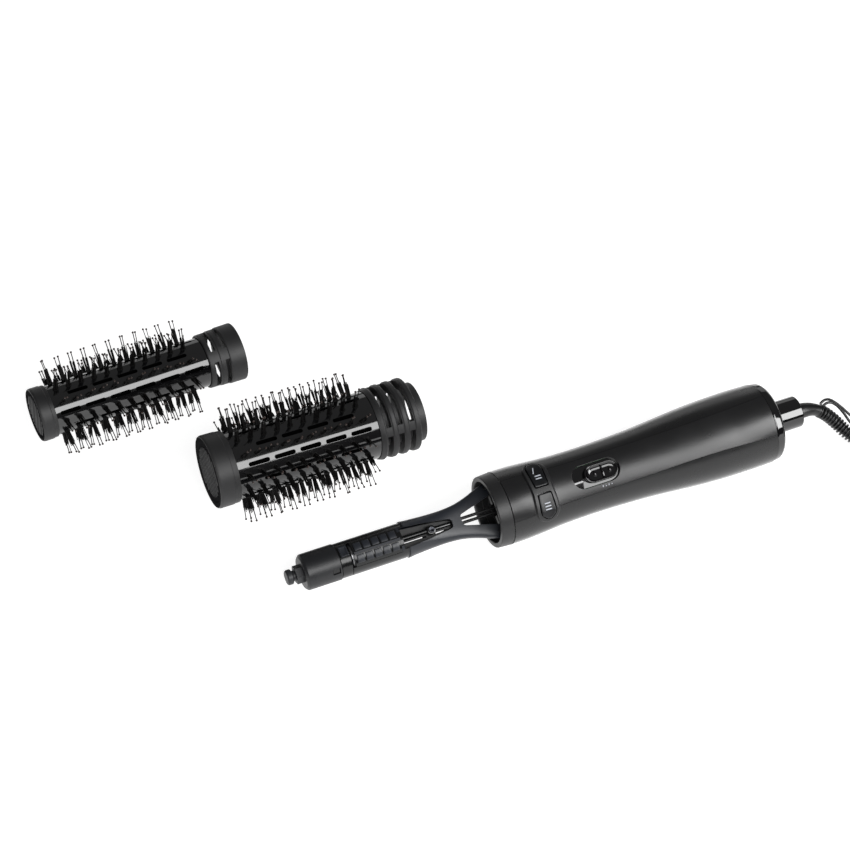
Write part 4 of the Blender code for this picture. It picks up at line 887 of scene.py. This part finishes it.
cover = facingOut(loose("cover", woven(len(coverStations) - 1, coverColumns, coverPoint)))
wall(cover, 1.5 * mm)
soften(cover, 0.3 * mm)
finish(cover, "motor_cover_moulding", glossPbt, "handle", handlePlace, ("motor_cover",), even=True)
pads = bmesh.new()
radius = spindle["radius"]
for row in (-1, 1):
    for i in range(5):
        x = spindle["coverX"][0] + 1.5 + spindle["padPitch"] * i
        block(pads, (x, row * 3.9 - 2.6, -0.4), (x + 4.9, row * 3.9 + 2.6, 1.0))
topEdges = [e for e in pads.edges if abs(e.verts[0].co.z - e.verts[1].co.z) < 1e-6 and e.verts[0].co.z > 0]
sideEdges = [e for e in pads.edges if abs(e.verts[0].co.z - e.verts[1].co.z) > 1e-4]
bmesh.ops.bevel(pads, geom=topEdges + sideEdges, offset=0.4 * mm, offset_type="OFFSET", affect="EDGES",
                segments=2, profile=0.5, material=-1)
# a cut along the middle of each row lets the pads bend round the spindle
for middle in (3.9, -3.9):
    bmesh.ops.bisect_plane(pads, geom=list(pads.verts) + list(pads.edges) + list(pads.faces),
                           plane_co=(0, middle * mm, 0), plane_no=(0, 1, 0))
block(pads, (spindle["coverX"][0] + 0.4, -0.7, -0.4), (spindle["coverX"][1] + 0.1, 0.7, 0.95))
for row in (-1, 1):
    block(pads, (spindle["coverX"][1] - 0.2, row * 6.4 - 1.6, -0.5),
          (spindle["coverX"][1] + 1.6, row * 6.4 + 1.6, 0.35))
for v in pads.verts:
    angle, lift = v.co.y / (radius * mm), v.co.z / mm
    v.co = Vector((v.co.x / mm, (radius + lift) * math.sin(angle), (radius + lift) * math.cos(angle))) * mm
finish(loose("pads", pads), "cover_pads", blueGreyPbt, "handle", handlePlace, crease=50)

# clamp ring with its rectangular clip, and the gear housing with a bevelled front and a notch window
clampProfile = eased([(-105.3, 10.1), (-105.3, 11.5), (-98.3, 11.5), (-98.3, 10.1)], 0.35, 3)
finish(loose("clamp", spun(clampProfile, 72)), "clamp_ring_moulding", glossPbt, "handle", handlePlace,
       ("clamp_ring",), even=True)
clip = bmesh.new()
block(clip, (-104.4, -3.6, 11.2), (-99.0, 3.6, 12.2), Matrix.Rotation(math.radians(-18), 4, "X"))
clipPiece = loose("clip", clip)
hollow = bmesh.new()
block(hollow, (-103.4, -2.6, 11.75), (-100.0, 2.6, 13), Matrix.Rotation(math.radians(-18), 4, "X"))
carve(clipPiece, hollow)
soften(clipPiece, 0.2 * mm, limit=50)
finish(clipPiece, "clamp_clip", blueGreyPbt, "handle", handlePlace)
housingProfile = eased([(-129.4, 4.3), (-129.4, 10.3), (-127.8, 11.9), (-105.6, 11.9), (-105.6, 10.1),
                        (-127.4, 10.1), (-127.4, 4.3)], 0.45, 4)
housing = loose("housing", spun(housingProfile, 96))
notch = bmesh.new()
block(notch, (-112.0, -1.9, 8), (-106.8, 1.9, 16), Matrix.Rotation(math.radians(38), 4, "X"))
carve(housing, notch)
groove = spun([(-124.6, 11.75), (-124.6, 12.6), (-124.2, 12.6), (-124.2, 11.75)], 96)
bmesh.ops.recalc_face_normals(groove, faces=groove.faces)
carve(housing, groove)
soften(housing, 0.25 * mm, limit=40)
finish(housing, "gear_housing_moulding", darkPbt, "handle", handlePlace, ("gear_housing",), even=True)
notchFill = bmesh.new()
block(notchFill, (-111.6, -1.6, 9.6), (-107.2, 1.6, 10.9), Matrix.Rotation(math.radians(38), 4, "X"))
finish(loose("latch", notchFill), "housing_latch", glossPbt, "handle", handlePlace)

# drive pin: knob, neck, hexagonal collar and its shaft
pinProfile = eased([(-139.8, 0.001), (-139.8, 4.4), (-138.9, 5.0), (-136.4, 5.0), (-135.9, 4.3),
                    (-135.6, 3.4), (-134.2, 3.4), (-133.9, 4.6), (-133.6, 4.9), (-126.0, 3.9), (-120.0, 3.9),
                    (-120.0, 0.001)], 0.3, 3)
pin = loose("pin", spun(pinProfile, 48, closed=False))
hexagon = bmesh.new()
bmesh.ops.create_cone(hexagon, cap_ends=True, segments=6, radius1=6.1 * mm, radius2=6.1 * mm, depth=5.2 * mm,
                      matrix=Matrix.Translation((-131.3 * mm, 0, 0)) @ Matrix.Rotation(math.pi / 2, 4, "Y"))
carve(pin, hexagon, "UNION")
soften(pin, 0.3 * mm, limit=30)
finish(pin, "drive_pin_turning", darkAcetal, "drive", handlePlace, ("drive_pin",), even=True)

# the motor's two leads
leadRoute = [(-63, 3.6), (-56, 4.6), (-48, 4.9), (-40, 4.7), (-32, 3.4), (-25, 1.9), (-18, 1.5), (-8, 1.5),
             (2, 1.5), (14, 1.5)]
for sign, name in ((-1, "left"), (1, "right")):
    route = [Vector((x, sign * y, 0.2)) for x, y in leadRoute]
    points = smoothRoute(route, 1.6)
    tube(name + "_motor_lead", [handlePlace @ p for p in points], 1.05, blackNylon, "handle",
         (name + "_wire",))


print("brush heads")
heads = {
    "large": {
        "place": headPlace(-150.77, -11.74, 39.03, 0), "roll": 22.0, "slots": (16.7, 7.8),
        "capRadius": 24.8, "capLength": 14.5, "barrel": 23.2, "tip": 40.0, "rows": 12, "seeds": (5, 31),
        "collarStart": 113.3, "ventStart": 117.8, "ventWidth": 3.7, "ventPitch": 8.0,
        "ventRows": 3, "ventCount": 3, "ventAngle": 105, "ventTurn": 74.1, "faceRibs": 9, "ribTurn": -60,
        "collar": [(113.3, 23.4), (113.3, 23.9), (115.0, 24.5), (116.6, 25.0), (117.4, 24.3), (121.8, 24.3),
                   (122.6, 25.0), (125.0, 25.0), (125.6, 24.3), (129.8, 24.3), (130.6, 25.0), (133.0, 25.0),
                   (133.6, 24.3), (137.8, 24.3), (138.5, 25.0), (141.2, 25.0), (141.8, 24.5), (141.8, 20.3),
                   (147.6, 20.1), (147.6, 18.6), (116.5, 18.6), (116.5, 23.4)],
    },
    "small": {
        "place": headPlace(-236.17, 93.36, 32.74, 3), "roll": 0.0, "slots": (3.0, 12.0),
        "capRadius": 18.6, "capLength": 10.6, "barrel": 17.3, "tip": 34.4, "rows": 9, "seeds": (8, 47),
        "collarStart": 121.4, "ventStart": 124.9, "ventWidth": 3.1, "ventPitch": 7.8,
        "ventRows": 2, "ventCount": 4, "ventAngle": 66, "ventTurn": 0, "faceRibs": 11, "ribTurn": 20,
        "collar": [(121.4, 17.6), (121.4, 18.6), (122.2, 19.0), (129.4, 19.1), (129.8, 19.5), (136.0, 19.6),
                   (136.4, 20.1), (147.2, 20.25), (147.6, 19.9), (147.6, 16.4), (124.4, 16.1), (124.4, 17.6)],
    },
}
tuft = {
    "pitch": 9.2, "margin": 0.3 + 1.6 + 4, "footX": 3.2, "footY": 2.4, "bristles": 16, "thickness": 0.4,
    "short": (7.4, 10.6), "pin": 0.4, "ball": 0.84, "kinds": 7,
}
slotSize = {"length": 14.4, "width": 2.7, "pitch": 17.9}


def rowTurn(row, rows):
    return Matrix.Rotation(full * row / rows + math.pi, 4, "X")


def filament(bm, foot, tip, thick, thin, sides):
    # a slim tapered rod between two points in mm
    line = Vector(tip) - Vector(foot)
    middle = Matrix.Translation((Vector(tip) + Vector(foot)) / 2 * mm)
    bmesh.ops.create_cone(bm, cap_ends=True, segments=sides, radius1=thick * mm, radius2=thin * mm,
                          depth=line.length * mm,
                          matrix=middle @ line.to_track_quat("Z", "Y").to_matrix().to_4x4())


def tuftKinds(reach, seed):
    # a few different tufts, as meshes of short bristles and meshes of balls for their long pins
    chance = random.Random(seed)
    kinds = []
    for _ in range(tuft["kinds"]):
        bristles, balls = bmesh.new(), bmesh.new()
        for i in range(tuft["bristles"]):
            turn = full * i / tuft["bristles"] + chance.uniform(-0.3, 0.3)
            out = math.sqrt(chance.uniform(0.05, 1))
            foot = (out * tuft["footX"] / 2 * math.cos(turn), out * tuft["footY"] / 2 * math.sin(turn), 0)
            lean = chance.uniform(-0.6, 0.4)
            length = chance.uniform(*tuft["short"])
            tip = (foot[0] * (1 + 0.25 * lean) + chance.uniform(-0.6, 0.6),
                   foot[1] * (1 + 0.3 * lean) + chance.uniform(-0.5, 0.5), length)
            filament(bristles, foot, tip, tuft["thickness"], tuft["thickness"] * 0.7, 3)
        for side in (-1, 1):
            foot = (side * 0.7 + chance.uniform(-0.4, 0.4), chance.uniform(-0.5, 0.5), 0)
            tip = (foot[0] * 1.7 + chance.uniform(-0.9, 0.9), foot[1] + chance.uniform(-1.2, 1.2),
                   reach - tuft["ball"] - chance.uniform(0, 0.9))
            filament(bristles, foot, tip, tuft["pin"], tuft["pin"] * 0.8, 4)
            bmesh.ops.create_icosphere(balls, subdivisions=1, radius=tuft["ball"] * mm,
                                       matrix=Matrix.Translation(Vector(tip) * mm))
        made = []
        for bm in (bristles, balls):
            bmesh.ops.recalc_face_normals(bm, faces=bm.faces)
            mesh = bpy.data.meshes.new("tuft")
            bm.to_mesh(mesh)
            bm.free()
            made.append(mesh)
        kinds.append(made)
    return kinds


def added(bm, mesh, matrix):
    # the mesh joined to bm under a transform
    before = len(bm.verts)
    bm.from_mesh(mesh)
    bm.verts.ensure_lookup_table()
    bmesh.ops.transform(bm, matrix=matrix, verts=bm.verts[before:])


for size, facts in heads.items():
    body, rows = size + "_head", facts["rows"]
    place = facts["place"] @ Matrix.Rotation(math.radians(facts["roll"]), 4, "X")
    cap, capEnd, barrel = facts["capRadius"], facts["capLength"], facts["barrel"]
    # front cap: a soft edge, a sunk disc with parallel ribs, and a small step behind
    capProfile = eased([(0.9, 0.001), (0.9, cap * 0.8), (0, cap * 0.84), (0, cap - 0.5), (1.5, cap),
                        (capEnd * 0.72, cap - 0.1), (capEnd * 0.76, cap - 0.45), (capEnd, cap - 0.5),
                        (capEnd, barrel + 0.1), (capEnd - 6, barrel + 0.1), (capEnd - 6, barrel - 1.7),
                        (2.6, barrel - 1.7), (2.6, 0.001)], 0.5, 3)
    capPiece = loose("cap", spun(capProfile, 96, closed=False))
    ribs = bmesh.new()
    for i in range(facts["faceRibs"]):
        offset = (i - (facts["faceRibs"] - 1) / 2) * cap * 1.5 / facts["faceRibs"]
        half = math.sqrt(max((cap * 0.76) ** 2 - offset**2, 4)) * 0.9
        block(ribs, (0.15, offset - 0.55, -half), (1.6, offset + 0.55, half),
              Matrix.Rotation(math.radians(facts["ribTurn"]), 4, "X"))
    ribPiece = loose("ribs", ribs)
    soften(ribPiece, 0.3 * mm, limit=50)
    onFace = [p.center.x < 1.3 * mm and p.center.yz.length < (cap - 1.2) * mm for p in capPiece.data.polygons]
    finish(capPiece, size + "_cap_moulding", charcoalNylon, body, place, (size + "_front_cap",), even=True)
    capPiece.data.materials.append(dryNylon)
    for polygon, dry in zip(capPiece.data.polygons, onFace):
        polygon.material_index = int(dry)
    finish(ribPiece, size + "_cap_ribs", charcoalNylon, body, place)

    # barrel: hard gloss, with rows of slots whose rims are rounded over
    barrelEnds = (capEnd - 6, facts["collarStart"] + 2.8)
    sleeve = spun([(barrelEnds[0], barrel - 1.6), (barrelEnds[0], barrel), (barrelEnds[1], barrel),
                   (barrelEnds[1], barrel - 1.6)], 120)
    barrelPiece = loose("barrel", sleeve)
    cutter = bmesh.new()
    last = facts["collarStart"] - 2
    for row in range(rows):
        start = capEnd + facts["slots"][row % 2]
        while start + slotSize["length"] < last:
            stadium(cutter, slotSize["length"], slotSize["width"], (0, 0, 0), barrel - 4, barrel + 3,
                    rowTurn(row, rows) @ Matrix.Translation(((start + slotSize["length"] / 2) * mm, 0, 0)), 7)
            start += slotSize["pitch"]
    carve(barrelPiece, cutter)
    soften(barrelPiece, 0.3 * mm, limit=40)
    finish(barrelPiece, size + "_barrel_sleeve", glossBarrel, body, place, (size + "_barrel",), even=True)

    # collar with rows of vents between rounded ribs, and the spigot behind it
    collar = loose("collar", spun(eased(facts["collar"], 0.42, 3), 120))
    vents = bmesh.new()
    lay = Matrix(((0, 0, 1, 0), (1, 0, 0, 0), (0, 1, 0, 0), (0, 0, 0, 1)))
    for row in range(facts["ventRows"]):
        x = facts["ventStart"] + row * facts["ventPitch"]
        for i in range(facts["ventCount"]):
            middle = math.degrees(full * i / facts["ventCount"]) + facts["ventTurn"]
            turns = [math.radians(middle + facts["ventAngle"] * (k / 24 - 0.5)) for k in range(25)]
            ring = [(30 * math.cos(a), 30 * math.sin(a)) for a in turns]
            ring += [(12 * math.cos(a), 12 * math.sin(a)) for a in reversed(turns)]
            outlined(vents, ring, x, x + facts["ventWidth"], lay)
    carve(collar, vents)
    soften(collar, 0.4 * mm, limit=50)
    finish(collar, size + "_collar_moulding", charcoalNylon, body, place, (size + "_rear_collar",), even=True)

    # a small oval foot at each tuft, the tufts, and a near-black tube under the barrel that is painted shade,
    # so the slots over it read as dark holes
    kinds = tuftKinds(facts["tip"] - barrel, facts["seeds"][0])
    chance = random.Random(facts["seeds"][1])
    bristles, balls = bmesh.new(), bmesh.new()
    feet, slotShadeHoles = bmesh.new(), bmesh.new()
    for row in range(rows):
        turn = rowTurn(row + 0.5, rows)
        x = capEnd + tuft["margin"]
        while x < facts["collarStart"] - 5:
            stadium(feet, tuft["footX"] + 1.0, tuft["footY"] + 0.9, (0, 0, 0), barrel - 2.2, barrel + 0.55,
                    turn @ Matrix.Translation((x * mm, 0, 0)), 4)
            stadium(slotShadeHoles, 3.6, 1.8, (0, 0, 0), barrel - 6, barrel,
                    turn @ Matrix.Translation(((x + tuft["pitch"] / 2) * mm, 0, 0)), 4)
            bristleMesh, ballMesh = chance.choice(kinds)
            lay = (turn @ Matrix.Translation(Vector((x, 0, barrel + 0.2)) * mm)
                   @ Matrix.Rotation(chance.uniform(-0.05, 0.05), 4, "Y")
                   @ Matrix.Rotation(chance.uniform(-0.06, 0.06), 4, "X")
                   @ Matrix.Rotation(chance.choice((0, math.pi)), 4, "Z"))
            added(bristles, bristleMesh, lay)
            added(balls, ballMesh, lay)
            x += tuft["pitch"]
    # painted shade: this near-black tube sits under the slots so they read dark
    slotShadeEnds = (capEnd - 1, facts["collarStart"] + 1)
    slotShadeTube = loose("slotShadeTube", spun([(slotShadeEnds[0], barrel - 3.4), (slotShadeEnds[0], barrel - 2.4),
                                     (slotShadeEnds[1], barrel - 2.4), (slotShadeEnds[1], barrel - 3.4)], 72))
    carve(slotShadeTube, slotShadeHoles)
    finish(slotShadeTube, size + "_slot_shade_tube", slotShadeBlack, body, place)
    finish(loose("feet", feet), size + "_bristle_feet", bristleNylon, body, place, (size + "_bristles",))
    tuftPieces = ((bristles, "_bristle_tufts", bristleNylon), (balls, "_bristle_tips", tipNylon))
    for bm, name, finishOf in tuftPieces:
        # bristles that meet the table bend along it
        for v in bm.verts:
            low = (place @ v.co).z
            if low < 0:
                v.co -= place.to_3x3().inverted() @ Vector((0, 0, low))
        mesh = bpy.data.meshes.new(size + name)
        bm.to_mesh(mesh)
        bm.free()
        piece = bpy.data.objects.new(size + name, mesh)
        bpy.context.scene.collection.objects.link(piece)
        finish(piece, size + name, finishOf, body, place, crease=50)


bpy.context.view_layer.update()
print("done")
